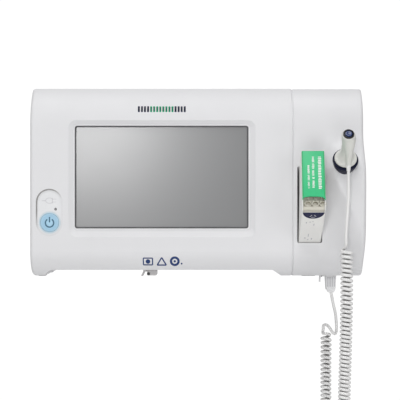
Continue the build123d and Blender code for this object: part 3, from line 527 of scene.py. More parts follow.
def tube(name, pts, r, sides, mat):
    pts = np.array(pts, float)
    tan, n1, n2 = transport(pts, (1, 0, 0.01))
    verts, faces = [], []
    for i in range(len(pts)):
        for k in range(sides):
            a = 2 * math.pi * k / sides
            verts.append(tuple(pts[i] + r * (math.cos(a) * n1[i] + math.sin(a) * n2[i])))
    for i in range(len(pts) - 1):
        for k in range(sides):
            k2 = (k + 1) % sides
            faces.append((i * sides + k, i * sides + k2, (i + 1) * sides + k2, (i + 1) * sides + k))
    faces.append(tuple(range(sides - 1, -1, -1)))
    faces.append(tuple((len(pts) - 1) * sides + k for k in range(sides)))
    ob = mesh_obj(name, verts, faces, mat)
    fix_normals(ob)
    return shade(ob, 60)


lead = tube("probe_lead", path_a, CORD_D / 2, 12, M["lead_white"])
# painted shade: how far each point of the jacket faces the axis of its coil; the jacket is made greyer there, for the
# shade between the turns
reach = np.linalg.norm(out_h, axis=1)
painted_coil_shade = lead.data.attributes.new("painted_coil_shade", "FLOAT", "POINT")
ring_c = np.repeat(path_a, 12, axis=0)
co = np.array([v.co[:] for v in lead.data.vertices]) / MM
facing = (co - ring_c) / (CORD_D / 2)
axis_out = np.repeat(out_h / np.maximum(reach, 1e-6)[:, None], 12, axis=0)
coil_shade_amount = np.clip(-(facing * axis_out).sum(1), 0, 1) * np.clip((np.repeat(reach, 12) - 2.0) / 1.5, 0, 1)
painted_coil_shade.data.foreach_set("value", coil_shade_amount.astype(np.float32))
# painted shade: the jacket colour is mixed towards grey by that amount
nt = M["lead_white"].node_tree
at = nt.nodes.new("ShaderNodeAttribute")
at.attribute_name = "painted_coil_shade"
mr = nt.nodes.new("ShaderNodeMapRange")
mr.inputs["From Min"].default_value = 0.15
mr.inputs["From Max"].default_value = 0.95
nt.links.new(at.outputs["Fac"], mr.inputs["Value"])
mix = nt.nodes.new("ShaderNodeMix")
mix.data_type = "RGBA"
old = nt.nodes["Principled BSDF"].inputs["Base Color"].links[0].from_socket
coil_shade_grey = nt.nodes.new("ShaderNodeValToRGB")
coil_shade_grey.color_ramp.elements[0].color = (0.27, 0.265, 0.26, 1)
coil_shade_grey.color_ramp.elements[1].color = (0.34, 0.335, 0.33, 1)
nt.links.new(old.node.inputs["Fac"].links[0].from_socket, coil_shade_grey.inputs["Fac"])
nt.links.new(mr.outputs["Result"], mix.inputs["Factor"])
nt.links.new(old, mix.inputs["A"])
nt.links.new(coil_shade_grey.outputs["Color"], mix.inputs["B"])
nt.links.new(mix.outputs["Result"], nt.nodes["Principled BSDF"].inputs["Base Color"])
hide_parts("lead_tail_front", "lead_coil_front", "lead_coil_back", "lead_tail_back")
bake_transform(lead)
print("lead length %.3f m, %d points" % (length_mm * MM, len(path_h)))

# ------------------------------------------------- outline shared by the covers
Y_F = -115.0
Z_TOP, Z_BOT = 83.3, -82.5
R_T, C_T = 41.2, (-73.8, 49.3)
R_B, C_B = 22.0, (-93.0, -60.5)
X_RIGHT, X_SEAM = 145.5, 84.4


def outline(t, y_end, step=1.0):
    # from the rear edge over the top, down the front and back underneath; (y, z, dy, dz) with the outward normal
    zt, rt = Z_TOP - t, R_T - t
    a = math.asin((zt - C_T[1]) / rt)
    crease = 1.6 if t < 1 else 0.4
    y_t = C_T[0] - rt * math.cos(a)
    pts = []
    n = max(2, int((abs(y_t - y_end)) / 3.0))
    for k in range(n):
        pts.append((y_end + (y_t + crease * 1.5 - y_end) * k / (n - 1), zt))
    # soft crease between the flat top and the front arc
    a2 = a - crease * 1.5 / rt
    p0 = pts[-1]
    p2 = (C_T[0] - rt * math.cos(a2), C_T[1] + rt * math.sin(a2))
    p1 = (y_t, zt)
    for k in range(1, 6):
        w = k / 6
        pts.append(tuple((1 - w) ** 2 * p0[i] + 2 * w * (1 - w) * p1[i] + w * w * p2[i] for i in range(2)))
    m = int(rt * a2 / step)
    for k in range(m + 1):
        b = a2 * (1 - k / m)
        pts.append((C_T[0] - rt * math.cos(b), C_T[1] + rt * math.sin(b)))
    m = int((C_T[1] - C_B[1]) / step)
    for k in range(1, m + 1):
        pts.append((Y_F + t, C_T[1] + (C_B[1] - C_T[1]) * k / m))
    rb = R_B - t
    m = int(rb * math.pi / 2 / step)
    for k in range(1, m + 1):
        b = math.pi / 2 * k / m
        pts.append((C_B[0] - rb * math.cos(b), C_B[1] - rb * math.sin(b)))
    n = max(2, int((abs(C_B[0] - y_end)) / 3.0))
    for k in range(1, n + 1):
        pts.append((C_B[0] + (y_end - C_B[0]) * k / n, -(R_B - t) + C_B[1]))
    return pts


POD = [(52, -115.0), (46, -115.0), (41, -115.5), (36.3, -117.0), (29.4, -121.2), (22.5, -126.0), (15.6, -130.4),
       (8.8, -133.0), (0.0, -134.0), (-10, -133.8), (-22.0, -133.2), (-39.4, -132.0), (-46.3, -130.6), (-53.0, -128.0),
       (-60.0, -123.6), (-67.0, -117.8), (-73.0, -111.4), (-78.0, -104.2), (-81.3, -97.0), (-82.5, -91.0)]
pod_z = np.array([p[0] for p in POD][::-1], float)
pod_y = np.array([p[1] for p in POD][::-1], float)


def smooth_interp(x, xs, ys):
    # monotone cubic through the points
    h = np.diff(xs)
    d = np.diff(ys) / h
    m = np.zeros(len(xs))
    m[1:-1] = np.where(d[:-1] * d[1:] > 0, 2 * d[:-1] * d[1:] / np.where(d[:-1] + d[1:] == 0, 1, d[:-1] + d[1:]), 0)
    m[0], m[-1] = d[0], d[-1]
    i = np.clip(np.searchsorted(xs, x) - 1, 0, len(xs) - 2)
    t = np.clip((x - xs[i]) / h[i], 0, 1)
    return ((2 * t ** 3 - 3 * t ** 2 + 1) * ys[i] + (t ** 3 - 2 * t ** 2 + t) * h[i] * m[i]
            + (-2 * t ** 3 + 3 * t ** 2) * ys[i + 1] + (t ** 3 - t ** 2) * h[i] * m[i + 1])


RAMP_Z = np.array([-80.0, -60.0, -45.0, -30.0, -18.0, -8.0, 2.0, 12.0, 22.0, 32.0, 44.0])
RAMP_0 = np.array([104.0, 106.0, 107.5, 108.5, 109.2, 109.4, 109.5, 109.6, 110.0, 111.0, 113.0])
RAMP_1 = np.array([150.0, 147.0, 144.0, 138.0, 131.0, 125.0, 120.8, 119.2, 120.5, 124.5, 129.0])


def pod_shift(x, y, z, drop=0.0):
    if z > 51 or y > -88:
        return 0.0
    target = float(smooth_interp(np.array([z]), pod_z, pod_y)[0]) + drop
    x0, x1 = np.interp(z, RAMP_Z, RAMP_0), np.interp(z, RAMP_Z, RAMP_1)
    s = min(1.0, max(0.0, (x - x0) / (x1 - x0)))
    s = 0.35 * s + 0.65 * s * s * (3 - 2 * s)
    return min(0.0, (target - y)) * s


def cover_solid(name, x0, x1, t, y_end, r0, r1, step=1.0, pod=True):
    # closed solid between x0 and x1 with rounded side edges
    cols = []
    for r, n, side in ((r0, 3, 0), (r1, 7, 1)):
        part = []
        for k in range(n + 1):
            a = math.pi / 2 * k / n
            inset = r * (1 - math.sin(a))
            dx = r * (1 - math.cos(a))
            part.append(((x0 + dx) if side == 0 else (x1 - dx), inset))
        cols.append(part)
    left = cols[0]
    right = cols[1][::-1]
    n_mid = max(2, int((right[0][0] - left[-1][0]) / step))
    mid = [(left[-1][0] + (right[0][0] - left[-1][0]) * k / n_mid, 0.0) for k in range(1, n_mid)]
    cols = left + mid + right
    base = outline(t, y_end)
    rows = len(base)
    nrm = []
    for i in range(rows):
        a = base[max(0, i - 1)]
        b = base[min(rows - 1, i + 1)]
        ty, tz = b[0] - a[0], b[1] - a[1]
        ln = math.hypot(ty, tz)
        # the walk goes forward over the top and down, so the outward side is on its right
        nrm.append((tz / ln, -ty / ln))
    verts = []
    side_of = [0] * len(left) + [2] * len(mid) + [1] * len(right)
    for (x, inset), side in zip(cols, side_of):
        for (y, z), (ny, nz) in zip(base, nrm):
            # edges are crisper at the bottom and top than down the front
            k = 1.0 if side != 1 else float(np.interp(z, [-80, -66, 50, 78], [0.35, 1.0, 1.0, 0.5]))
            xx = x if side != 1 else x1 - (x1 - x) * k
            yy = y + (pod_shift(xx, y, z, t) if pod else 0.0)
            verts.append((xx, yy - ny * inset * k, z - nz * inset * k))
    nc = len(cols)
    faces = []
    for c in range(nc - 1):
        for i in range(rows - 1):
            faces.append((c * rows + i, (c + 1) * rows + i, (c + 1) * rows + i + 1, c * rows + i + 1))
    # side walls: a narrow support ring, then one flat face
    for c, sgn in ((0, 1), (nc - 1, -1)):
        start = len(verts)
        for i in range(rows):
            vx, vy, vz = verts[c * rows + i]
            ny, nz = nrm[i]
            verts.append((vx, vy - ny * 0.6, vz - nz * 0.6))
        for i in range(rows - 1):
            q = (c * rows + i, c * rows + i + 1, start + i + 1, start + i)
            faces.append(q if sgn > 0 else q[::-1])
        f = tuple(range(start, start + rows))
        faces.append(f if sgn > 0 else f[::-1])
        # close the rear strip of the support ring
        faces.append((c * rows, start, start + rows - 1, c * rows + rows - 1) if False else
                     tuple([c * rows, start, start + rows - 1, c * rows + rows - 1]))
    # rear face
    faces.append(tuple([c * rows for c in range(nc)] + [c * rows + rows - 1 for c in range(nc - 1, -1, -1)]))
    ob = mesh_obj(name, verts, faces)
    bm = bmesh.new()
    bm.from_mesh(ob.data)
    bmesh.ops.remove_doubles(bm, verts=bm.verts, dist=1e-7)
    bmesh.ops.recalc_face_normals(bm, faces=bm.faces)
    bad = [e for e in bm.edges if len(e.link_faces) != 2]
    print(name, "faces", len(bm.faces), "open edges", len(bad))
    bm.to_mesh(ob.data)
    bm.free()
    return ob


# --------------------------------------------------------- tilted local frames
BOX_C = (98.3, -115.0, -19.2)
C30, S30 = math.cos(math.radians(30)), math.sin(math.radians(30))


def in_box(x, h, s):
    # across, up the end panel, along the box towards the front
    return (x, BOX_C[1] - C30 * s + S30 * h, BOX_C[2] + S30 * s + C30 * h)


WELL_P = Vector((126.5, -137.0, 20.4))
WELL_D = Vector((0.0, -math.cos(math.radians(32)), math.sin(math.radians(32))))


def wp(t, dx=0.0):
    return WELL_P + WELL_D * t + Vector((dx, 0, 0))


def box_prism(name, x0, x1, h0, h1, s0, s1, mat=None):
    return prism(name, [(x0, h0), (x1, h0), (x1, h1), (x0, h1)], in_box, s0, s1, mat)


# ------------------------------------------------------- thermometer front cover
outer = cover_solid("module_front_shell", X_SEAM, X_RIGHT, 0.0, -62.5, 0.6, 4.0)
inner = cover_solid("inner", X_SEAM + 2.3, X_RIGHT - 2.3, 2.3, -60.0, 0.3, 2.0, step=2.0)
slot_cut = prism("slot", round_rect(87.6, 109.2, -29.0, 29.0, 1.2, 4), in_box, -60, 60)
well_cut = rod("well_hole", wp(-60), WELL_D, 8.6, 75)
cut(outer, inner, slot_cut, well_cut)
outer.data.materials.clear()
outer.data.materials.append(M["module_housing"])
shade(outer, 34)
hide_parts("module_front_cover")
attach(outer, "monitor")

# dark lining on the left wall of the slot: painted shade, a black plate that stands for the shade in the gap between
# the box and the wall
slot_shade_plates = []
for k, (h0, h1) in enumerate(((-28.6, -14.0), (-14.0, 0.0), (0.0, 14.0), (14.0, 28.6))):
    # each length ends just behind the sloping face
    s0, s1 = 0.577 * h0 - 0.8, 0.577 * h1 - 0.8
    slot_shade_plates.append(prism("l", [(h0, s0), (h1, s1), (h1, s1 - 14), (h0, s0 - 14)], lambda a, b, c: in_box(c, a, b), 87.62, 88.0 if k > 2 else 88.25))
slot_shade_plates = join("slot_shade_lining", slot_shade_plates)
slot_shade_plates.data.materials.clear()
slot_shade_plates.data.materials.append(M["black_plastic"])
fix_normals(slot_shade_plates)
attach(slot_shade_plates, "monitor")

# strip that closes the groove between the two housings, 1.1 mm down
strip_pts = outline(1.1, -12.0, 2.0)
strip_in = outline(2.4, -12.0, 2.0)
verts, faces = [], []
n = len(strip_pts)
for x in (83.2, 84.6):
    verts += [(x, y, z) for y, z in strip_pts]
for i in range(n - 1):
    faces.append((i, i + 1, n + i + 1, n + i))
strip = mesh_obj("seam_strip", verts, faces, M["housing"])
m = strip.modifiers.new("thick", "SOLIDIFY")
m.thickness = 1.0 * MM
m.offset = -1
bake(strip)
fix_normals(strip)
shade(strip, 30)
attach(strip, "monitor")

# ------------------------------------------------------------------ probe handle
GRIP_P = Vector((126.9, -137.0, 19.5))
GRIP_TOP = Vector((125.85, -165.75, 39.35))
GRIP_D = (GRIP_TOP - GRIP_P).normalized()
GRIP_L = (GRIP_TOP - GRIP_P).length


def gp(t):
    return GRIP_P + GRIP_D * t


EXIT = Vector((128.0, -147.6, 14.2))
HEAD = Vector((127.0, -161.6, 36.6))
L = GRIP_L
parts = [
    lathe("h1", gp(0), GRIP_D, [(0.05, 0.0001), (0.05, 8.9), (0.5, 9.5), (1.2, 9.6), (2.2, 9.5), (3.0, 8.7), (3.4, 7.6),
                                (4.8, 6.6), (8, 5.3), (12, 4.7), (L - 14, 4.7), (L - 7, 5.3), (L - 3, 5.75), (L - 1.5, 5.7),
                                (L - 0.6, 5.2), (L - 0.6, 0.0001)], 72),
]
ax = (EXIT - HEAD)
parts.append(lathe("h2", HEAD, ax, [(-2.4, 0.0001), (-2.4, 3.4), (-1, 5.0), (2, 5.5), (7, 4.8), (13, 3.7), (19, 2.7),
                                    (ax.length - 0.6, 2.3), (ax.length, 1.9), (ax.length, 0.0001)], 64))
# ridge that runs down the middle of the fin
ridge = []
for t, w in ((-1.0, 0.4), (4.0, 1.1), (12.0, 1.2), (20.0, 0.9), (ax.length - 1.5, 0.5)):
    ridge.append((t, w))
rd = ax.normalized()
rn = Vector((0, -1, 0)) - rd * Vector((0, -1, 0)).dot(rd)
rn.normalize()
rs = rd.cross(rn)
verts, faces = [], []
for t, w in ridge:
    base = float(np.interp(t, [-1, 2, 8, 15, 21, ax.length], [4.8, 5.3, 4.5, 3.2, 2.4, 2.0]))
    c = HEAD + rd * t
    for a, h in ((-w * 1.6, base - 1.2), (0.0, base + 0.55), (w * 1.6, base - 1.2), (0.0, base - 2.4)):
        verts.append(tuple(c + rs * a + rn * h))
for i in range(len(ridge) - 1):
    for k in range(4):
        k2 = (k + 1) % 4
        faces.append((4 * i + k, 4 * i + k2, 4 * i + 4 + k2, 4 * i + 4 + k))
faces += [(3, 2, 1, 0), tuple(4 * (len(ridge) - 1) + k for k in range(4))]
rb = mesh_obj("ridge", verts, faces)
fix_normals(rb)
parts.append(rb)
handle = join("probe_grip", parts)
m = handle.modifiers.new("remesh", "REMESH")
m.mode = "VOXEL"
m.voxel_size = 0.40 * MM
m.use_smooth_shade = True
m = handle.modifiers.new("smooth", "SMOOTH")
m.factor = 0.5
m.iterations = 7
bpy.context.view_layer.update()
bake(handle)
cut(handle, rod("recess", gp(L - 6.9), GRIP_D, 4.72, 20))
cut(handle, rod("key_bore", gp(L - 12.6), GRIP_D, 3.45, 12))
cut(handle, rod("bore", wp(-1), WELL_D, 2.05, 28))
cut(handle, rod("spring_bore", wp(7.0), WELL_D, 2.5, 18))
handle.data.materials.clear()
handle.data.materials.append(M["probe_white"])
shade(handle, 50)
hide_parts("probe_handle")
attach(handle, "probe")

# navy lip and its tapered skirt, around the well
collar = lathe("well_ring", GRIP_P, WELL_D, [
    (0.0, 8.1), (0.0, 10.3), (-0.25, 10.75), (-0.8, 11.0), (-2.0, 11.0), (-2.6, 10.8), (-3.0, 10.35), (-3.3, 10.2),
    (-3.9, 10.25), (-5.5, 10.1), (-7.2, 9.7), (-9.0, 9.1), (-11.0, 8.9), (-15.0, 8.8), (-15.0, 8.3), (-23.4, 8.2),
    (-23.4, 6.95), (-1.7, 6.95), (-1.7, 8.1)], 96, M["navy"])
shade(collar, 30)
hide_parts("well_collar")
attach(collar, "monitor")
ring = lathe("button_ring", gp(L - 3.0), GRIP_D, [(-3.5, 3.3), (-3.5, 4.66), (3.0, 4.66), (3.45, 4.5), (3.6, 4.2), (3.6, 3.8),
                                                  (3.3, 3.45), (2.6, 3.3)], 64, M["bezel_black"])
shade(ring, 36)
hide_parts("button_bezel")
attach(ring, "probe")
cap_b = lathe("cap_b", gp(L - 3.0), GRIP_D, [(-4.6, 0.0001), (-4.6, 3.0), (2.9, 3.0), (3.4, 2.9), (3.65, 2.4), (3.72, 1.9),
                                             (3.5, 1.3), (3.42, 0.6), (3.4, 0.0001)], 64, M["eject_navy"])
cap_c = lathe("cap_c", wp(0), WELL_D, [(12.0, 0.0001), (12.0, 1.2), (27.4, 1.2), (27.4, 0.0001)], 24, M["bezel_black"])
cap = join("eject_cap", [cap_b, cap_c])
shade(cap, 36)
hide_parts("eject_button")
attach(cap, "eject_key")

# ------------------------------------------------------- lead plug and its latch
# painted shade: grey strips on the floors of the plug's moulded grooves, and a dark web under the latch's arch, stand
# for the shade in those hollows
p_lo, p_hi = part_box("probe_plug")
plug_x, plug_y = p_hi.x / MM - 5.2, (p_lo.y + p_hi.y) / 2 / MM
groove_shade_strips = [block("f", plug_x - 3.58 + 1.6 * i, plug_x - 2.92 + 1.6 * i, plug_y - 4.20, plug_y - 4.02, -95.2, -86.2)
          for i in range(5)]
groove_shade_strips = join("plug_groove_shade", groove_shade_strips)
groove_shade_strips.data.materials.clear()
groove_shade_strips.data.materials.append(M["groove_shade_grey"])
m = groove_shade_strips.modifiers.new("bevel", "BEVEL")
m.width = 0.04 * MM
m.segments = 2
bake(groove_shade_strips)
shade(groove_shade_strips, 40)
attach(groove_shade_strips, "monitor")
# painted shade: dark web that fills the opening under the latch's arch
shadow_web = [(114.35, -86.30), (114.55, -85.55), (115.1, -85.15), (115.9, -85.0), (116.7, -85.2), (117.1, -85.6), (117.1, -85.95),
       (116.5, -85.75), (115.8, -85.65), (115.2, -85.8), (114.85, -86.1), (114.7, -86.45)]
shadow_web = prism("latch_shadow_web", shadow_web, lambda a, b, c: (a, c, b), plug_y - 2.35, plug_y + 2.35)
shadow_web.data.materials.clear()
shadow_web.data.materials.append(M["latch_shade_dark"])
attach(shadow_web, "latch_tab")

# ----------------------------------------------------------------- cover carton
X0, X1, HB, S0, S1 = 88.55, 107.8, 28.3, -61.7, 42.3


def in_box(x, h, s):
    # the box sits a touch out of square in its slot
    x = x + 0.0286 * h * (s + 61.7) / 104.0 + 0.85 * (42.3 - s) / 104.0
    return (x, BOX_C[1] - C30 * s + S30 * h, BOX_C[2] + S30 * s + C30 * h)


carton = prism("carton_shell", round_rect(X0, X1, -HB, HB, 0.5, 3), in_box, S0, S1)
hollow = box_prism("hollow", X0 + 0.6, X1 - 0.6, -HB + 0.6, HB - 0.6, S0 + 0.6, S1 - 0.6)
# torn end panel: an arched tear with a curl at its right
tear = [(X0 + 0.62, -HB - 2), (X1 - 0.62, -HB - 2), (X1 - 0.62, -HB + 9.6)]
for k, (fx, fh) in enumerate([(0.93, 10.6), (0.86, 11.3), (0.78, 11.75), (0.70, 11.6), (0.62, 11.9), (0.5, 11.75),
                              (0.38, 11.95), (0.26, 11.7), (0.16, 11.55), (0.08, 11.1)]):
    tear.append((X0 + (X1 - X0) * fx, -HB + fh))
tear.append((X0 + 0.62, -HB + 10.4))
t1 = prism("t1", tear, in_box, S1 - 1.0, S1 + 2)
t2 = box_prism("t2", X0 + 0.62, X1 - 0.62, -HB - 2, -HB + 0.8, S1 - 6.2, S1 + 2)
# the side edges are torn back at a slant
side = [(-HB - 2, S1 + 2), (-HB + 9.2, S1 + 2), (-HB + 9.0, S1 - 0.9), (-HB + 5.0, S1 - 1.7), (-HB + 1.5, S1 - 2.6),
        (-HB - 2, S1 - 3.4)]
t3 = prism("t3", side, lambda a, b, c: in_box(c, a, b), X0 - 1, X1 + 1)
cut(carton, hollow, t1, t2, t3)
carton.data.materials.clear()
carton.data.materials.append(M["carton"])
m = carton.modifiers.new("bevel", "BEVEL")
m.width = 0.12 * MM
m.segments = 2
m.limit_method = "ANGLE"
m.angle_limit = math.radians(40)
bake(carton)
shade(carton, 40)
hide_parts("cover_carton")
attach(carton, "cover_box")


# probe covers, packed in staggered rows inside a thin tray
U30 = Vector((0.0, -C30, S30))
tubes, cup_at = [], []
for j in range(10):
    hh = -21.6 + 5.1 * j
    for c in ((-6.15, 0.0, 6.15) if j % 2 == 0 else (-3.07, 3.07)):
        p = Vector(in_box((X0 + X1) / 2 + c, hh, S0 + 1.0))
        tubes.append(lathe("c", p, U30, [(0, 0.4), (0, 2.0), (2, 2.25), (97.0, 2.25), (97.6, 2.85), (97.9, 3.05), (99.3, 3.05),
                                         (99.75, 2.95), (99.9, 2.55), (99.7, 2.15), (93.0, 2.0), (92.8, 0.4)], 28))
        cup_at.append(p)
covers = join("cover_tubes", tubes)
tray = join("tray", [box_prism("a", X0 + 0.8, X1 - 0.8, -27.5, -25.0, S1 - 22, S1 - 4.6),
                     box_prism("b", X0 + 0.8, X0 + 1.3, -27.5, -8.0, S1 - 22, S1 - 5.2),
                     box_prism("c", X1 - 1.3, X1 - 0.8, -27.5, -8.0, S1 - 22, S1 - 5.2),
                     box_prism("d", X0 + 0.8, X1 - 0.8, -27.4, -8.0, S1 - 6.2, S1 - 5.1),
                     box_prism("e", X0 + 0.8, X1 - 0.8, -27.4, -24.6, S1 - 5.4, S1 - 2.9)])
covers = join("cover_tubes", [covers, tray])
covers.data.materials.clear()
covers.data.materials.append(M["cover_tube"])
covers.data.materials.append(M["cover_mouth_shade"])
shade(covers, 40)
# painted shade: faces within the mouths of the cover tubes get the darker material, for the shade down in the cups
axes = np.array([a[:] for a in cup_at])
for poly in covers.data.polygons:
    c = np.array(poly.center[:]) / MM - axes
    t = c @ np.array(U30[:])
    r = np.linalg.norm(c - t[:, None] * np.array(U30[:]), axis=1)
    k = int(np.argmin(r))
    if 92.0 < t[k] < 99.6 and r[k] < 2.14:
        poly.material_index = 1
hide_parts("probe_covers")
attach(covers, "cover_box")


def decal(name, outlines, place, mat, body, lift=0.02, thick=0.10):
    obs = [prism("d", o, place, lift, lift + thick) for o in outlines]
    ob = join(name, obs)
    ob.data.materials.clear()
    ob.data.materials.append(mat)
    fix_normals(ob)
    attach(ob, body)
    return ob


def on_end(a, b, c):
    return in_box(a, b, S1 + c - 0.02)


def on_under(a, b, c):
    return in_box(a, -HB - c + 0.02, b)


rng = np.random.RandomState(7)


def greek(x0, x1, h0, h1, fill, dash):
    # a printed line of even strokes across [x0, x1], running down from h1 to h0
    out = []
    h = h1
    while h > h0:
        w = dash * (0.65 + 0.5 * rng.rand())
        a0 = x0 + (x1 - x0) * 0.12 * rng.rand()
        a1 = x1 - (x1 - x0) * 0.18 * rng.rand()
        if rng.rand() < fill:
            out.append(round_rect(a0, a1, max(h0, h - w), h, min(0.16, w / 3), 2))
        h -= w + dash * (0.32 + 0.35 * rng.rand())
    return out


# three printed lines down the end panel
ex = lambda f: X0 + (X1 - X0) * f
decal("carton_print_a", greek(ex(0.70), ex(0.86), -9.5, 22.5, 0.97, 1.15), on_end, ink_white, "cover_box")
decal("carton_print_b", greek(ex(0.44), ex(0.55), -8.5, 22.5, 0.9, 0.85)
      + greek(ex(0.24), ex(0.34), -8.5, 14.0, 0.9, 0.85), on_end, ink_white, "cover_box")
# darker green along both long edges of the panel
decal("carton_edge_bands", [round_rect(ex(0.012), ex(0.052), -HB + 11.5, HB - 0.3, 0.1, 2),
                            round_rect(ex(0.945), ex(0.988), -HB + 11.5, HB - 0.3, 0.1, 2)], on_end, ink_edge, "cover_box")
# half disc and small marks on the underside
arc = [(ex(0.5) + 9.0 * math.cos(math.pi + math.pi * k / 28), 36.0 + 10.4 * math.sin(math.pi + math.pi * k / 28))
       for k in range(29)]
arc = [(min(max(a, X0 + 0.35), X1 - 0.35), b) for a, b in arc]
decal("carton_half_disc", [arc], on_under, ink_deep, "cover_box")
marks = []
for cx, cs, ang in ((0.40, 30.3, 55), (0.58, 30.6, -55), (0.49, 28.0, 10)):
    c0, s0 = math.cos(math.radians(ang)), math.sin(math.radians(ang))
    o = [(-1.5, -0.3), (1.5, -0.3), (1.5, 0.3), (-1.5, 0.3)]
    marks.append([(ex(cx) + a * c0 - b * s0, cs + a * s0 + b * c0) for a, b in o])
decal("carton_disc_marks", marks, on_under, ink_grey, "cover_box", lift=0.10, thick=0.05)
marks = []
for cx, cs, w, l in ((0.24, 18.5, 1.0, 2.4), (0.40, 19.5, 1.6, 1.0), (0.58, 15.0, 0.8, 3.4), (0.52, 20.5, 0.9, 1.4),
                     (0.26, -9.0, 1.4, 1.8), (0.40, -4.0, 0.8, 5.0), (0.40, -12.0, 1.4, 1.4), (0.56, -10.5, 1.2, 2.6)):
    marks.append(round_rect(ex(cx) - w / 2, ex(cx) + w / 2, cs - l / 2, cs + l / 2, 0.2, 2))
decal("carton_small_marks", marks, on_under, ink_grey, "cover_box")

# -------------------------------------------------------- printed marks, housing
def face_y(z):
    if z > C_T[1]:
        return C_T[0] - math.sqrt(max(0.0, R_T ** 2 - (z - C_T[1]) ** 2))
    if z < C_B[1]:
        return C_B[0] - math.sqrt(max(0.0, R_B ** 2 - (z - C_B[1]) ** 2))
    return Y_F


def strip_mark(x0, x1, z0, z1, lean=0.0, n=8):
    # thin raised patch that follows the curved front; lean slants it
    verts, faces = [], []
    for lift in (0.0, 0.07):
        for k in range(n + 1):
            z = z0 + (z1 - z0) * k / n
            sh = lean * (k / n - 0.5)
            for x in (x0 + sh, x1 + sh):
                if z > C_T[1]:
                    ny, nz = (face_y(z) - C_T[0]) / R_T, (z - C_T[1]) / R_T
                elif z < C_B[1]:
                    ny, nz = (face_y(z) - C_B[0]) / R_B, (z - C_B[1]) / R_B
                else:
                    ny, nz = -1.0, 0.0
                verts.append((x, face_y(z) + ny * lift, z + nz * lift))
    m = 2 * (n + 1)
    for k in range(n):
        a = 2 * k
        faces.append((m + a, m + a + 1, m + a + 3, m + a + 2))
        faces.append((a, a + 1, m + a + 1, m + a))
        faces.append((a, m + a, m + a + 2, a + 2))
        faces.append((a + 1, a + 3, m + a + 3, m + a + 1))
    faces.append((0, 1, m + 1, m))
    faces.append((2 * n, m + 2 * n, m + 2 * n + 1, 2 * n + 1))
    return mesh_obj("mark", verts, faces)


def curve_mark(points, w, n_sub=2):
    # stroke of width w along (x, z) points on the curved front
    obs = []
    verts, faces = [], []
    pts = [Vector(p) for p in points]
    fine = []
    for a, b in zip(pts, pts[1:]):
        steps = max(1, int((b - a).length / 0.8))
        for k in range(steps):
            fine.append(a.lerp(b, k / steps))
    fine.append(pts[-1])
    n = len(fine)
    for lift in (0.0, 0.07):
        for i, p in enumerate(fine):
            t = (fine[min(n - 1, i + 1)] - fine[max(0, i - 1)]).normalized()
            q = Vector((-t.y, t.x)) * (w / 2)
            for s in (-1, 1):
                x, z = p.x + q.x * s, p.y + q.y * s
                if z > C_T[1]:
                    ny, nz = (face_y(z) - C_T[0]) / R_T, (z - C_T[1]) / R_T
                elif z < C_B[1]:
                    ny, nz = (face_y(z) - C_B[0]) / R_B, (z - C_B[1]) / R_B
                else:
                    ny, nz = -1.0, 0.0
                verts.append((x, face_y(z) + ny * lift, z + nz * lift))
    m = 2 * n
    for k in range(n - 1):
        a = 2 * k
        faces.append((m + a, m + a + 1, m + a + 3, m + a + 2))
        faces.append((a, m + a, m + a + 2, a + 2))
        faces.append((a + 1, a + 3, m + a + 3, m + a + 1))
    faces.append((0, 1, m + 1, m))
    faces.append((2 * n - 2, m + 2 * n - 2, m + 2 * n - 1, 2 * n - 1))
    return mesh_obj("mark", verts, faces)


def disc_mark(cx, cz, r, n=28):
    verts, faces = [], []
    rings = 4
    for lift in (0.0, 0.07):
        for j in range(rings + 1):
            for k in range(n):
                a = 2 * math.pi * k / n
                x, z = cx + r * (j + 0.001) / rings * math.cos(a), cz + r * (j + 0.001) / rings * math.sin(a)
                ny, nz = (-1.0, 0.0)
                if z < C_B[1]:
                    ny, nz = (face_y(z) - C_B[0]) / R_B, (z - C_B[1]) / R_B
                verts.append((x, face_y(z) + ny * lift, z + nz * lift))
    m = (rings + 1) * n
    for j in range(rings):
        for k in range(n):
            k2 = (k + 1) % n
            faces.append((m + j * n + k, m + j * n + k2, m + (j + 1) * n + k2, m + (j + 1) * n + k))
    for k in range(n):
        k2 = (k + 1) % n
        faces.append((rings * n + k, rings * n + k2, m + rings * n + k2, m + rings * n + k))
    return mesh_obj("mark", verts, faces)


def finish_marks(name, obs, mat):
    ob = join(name, obs)
    ob.data.materials.clear()
    ob.data.materials.append(mat)
    fix_normals(ob)
    shade(ob, 30)
    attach(ob, "monitor")
    return ob


# even row of plain upright strokes, all alike
def bars(x_start, spec):
    obs, x = [], x_start
    for w, lo, hi, lean, gap in spec:
        obs.append(strip_mark(x, x + w, lo, hi, lean))
        x += w + gap
    return obs, x


row = [(1.7, 61.4, 66.6, 0.0, 0.97)] * 4
obs_l, x_next = bars(-51.4, row)
obs_m, x_next = bars(x_next, row * 2)
obs_r, _ = bars(x_next, row)
finish_marks("front_bars_green", obs_m, ink_green)
finish_marks("front_bars_navy", obs_l + obs_r, ink_navy)

# three plain outline marks low on the front
zc = -69.0
sq = [(-46.6, zc - 3.0), (-46.6, zc + 3.0), (-38.6, zc + 3.0), (-38.6, zc - 3.0), (-46.6, zc - 3.0)]
tri = [(-34.6, zc - 3.2), (-30.6, zc + 3.5), (-26.6, zc - 3.2), (-34.6, zc - 3.2)]
obs = [curve_mark([a, b], 1.0) for a, b in zip(sq, sq[1:])]
obs += [curve_mark([a, b], 1.1) for a, b in zip(tri, tri[1:])]
obs += [disc_mark(-42.6, zc, 2.0), disc_mark(-13.2, zc - 1.9, 0.75)]
finish_marks("front_marks_outline", obs, ink_blue)
ring = [(-19.2 + 3.3 * math.cos(2 * math.pi * k / 40), zc + 0.2 + 3.3 * math.sin(2 * math.pi * k / 40)) for k in range(41)]
obs = [curve_mark(ring, 2.0), disc_mark(-19.2, zc + 0.2, 1.0)]
finish_marks("front_mark_ring", obs, ink_blue)

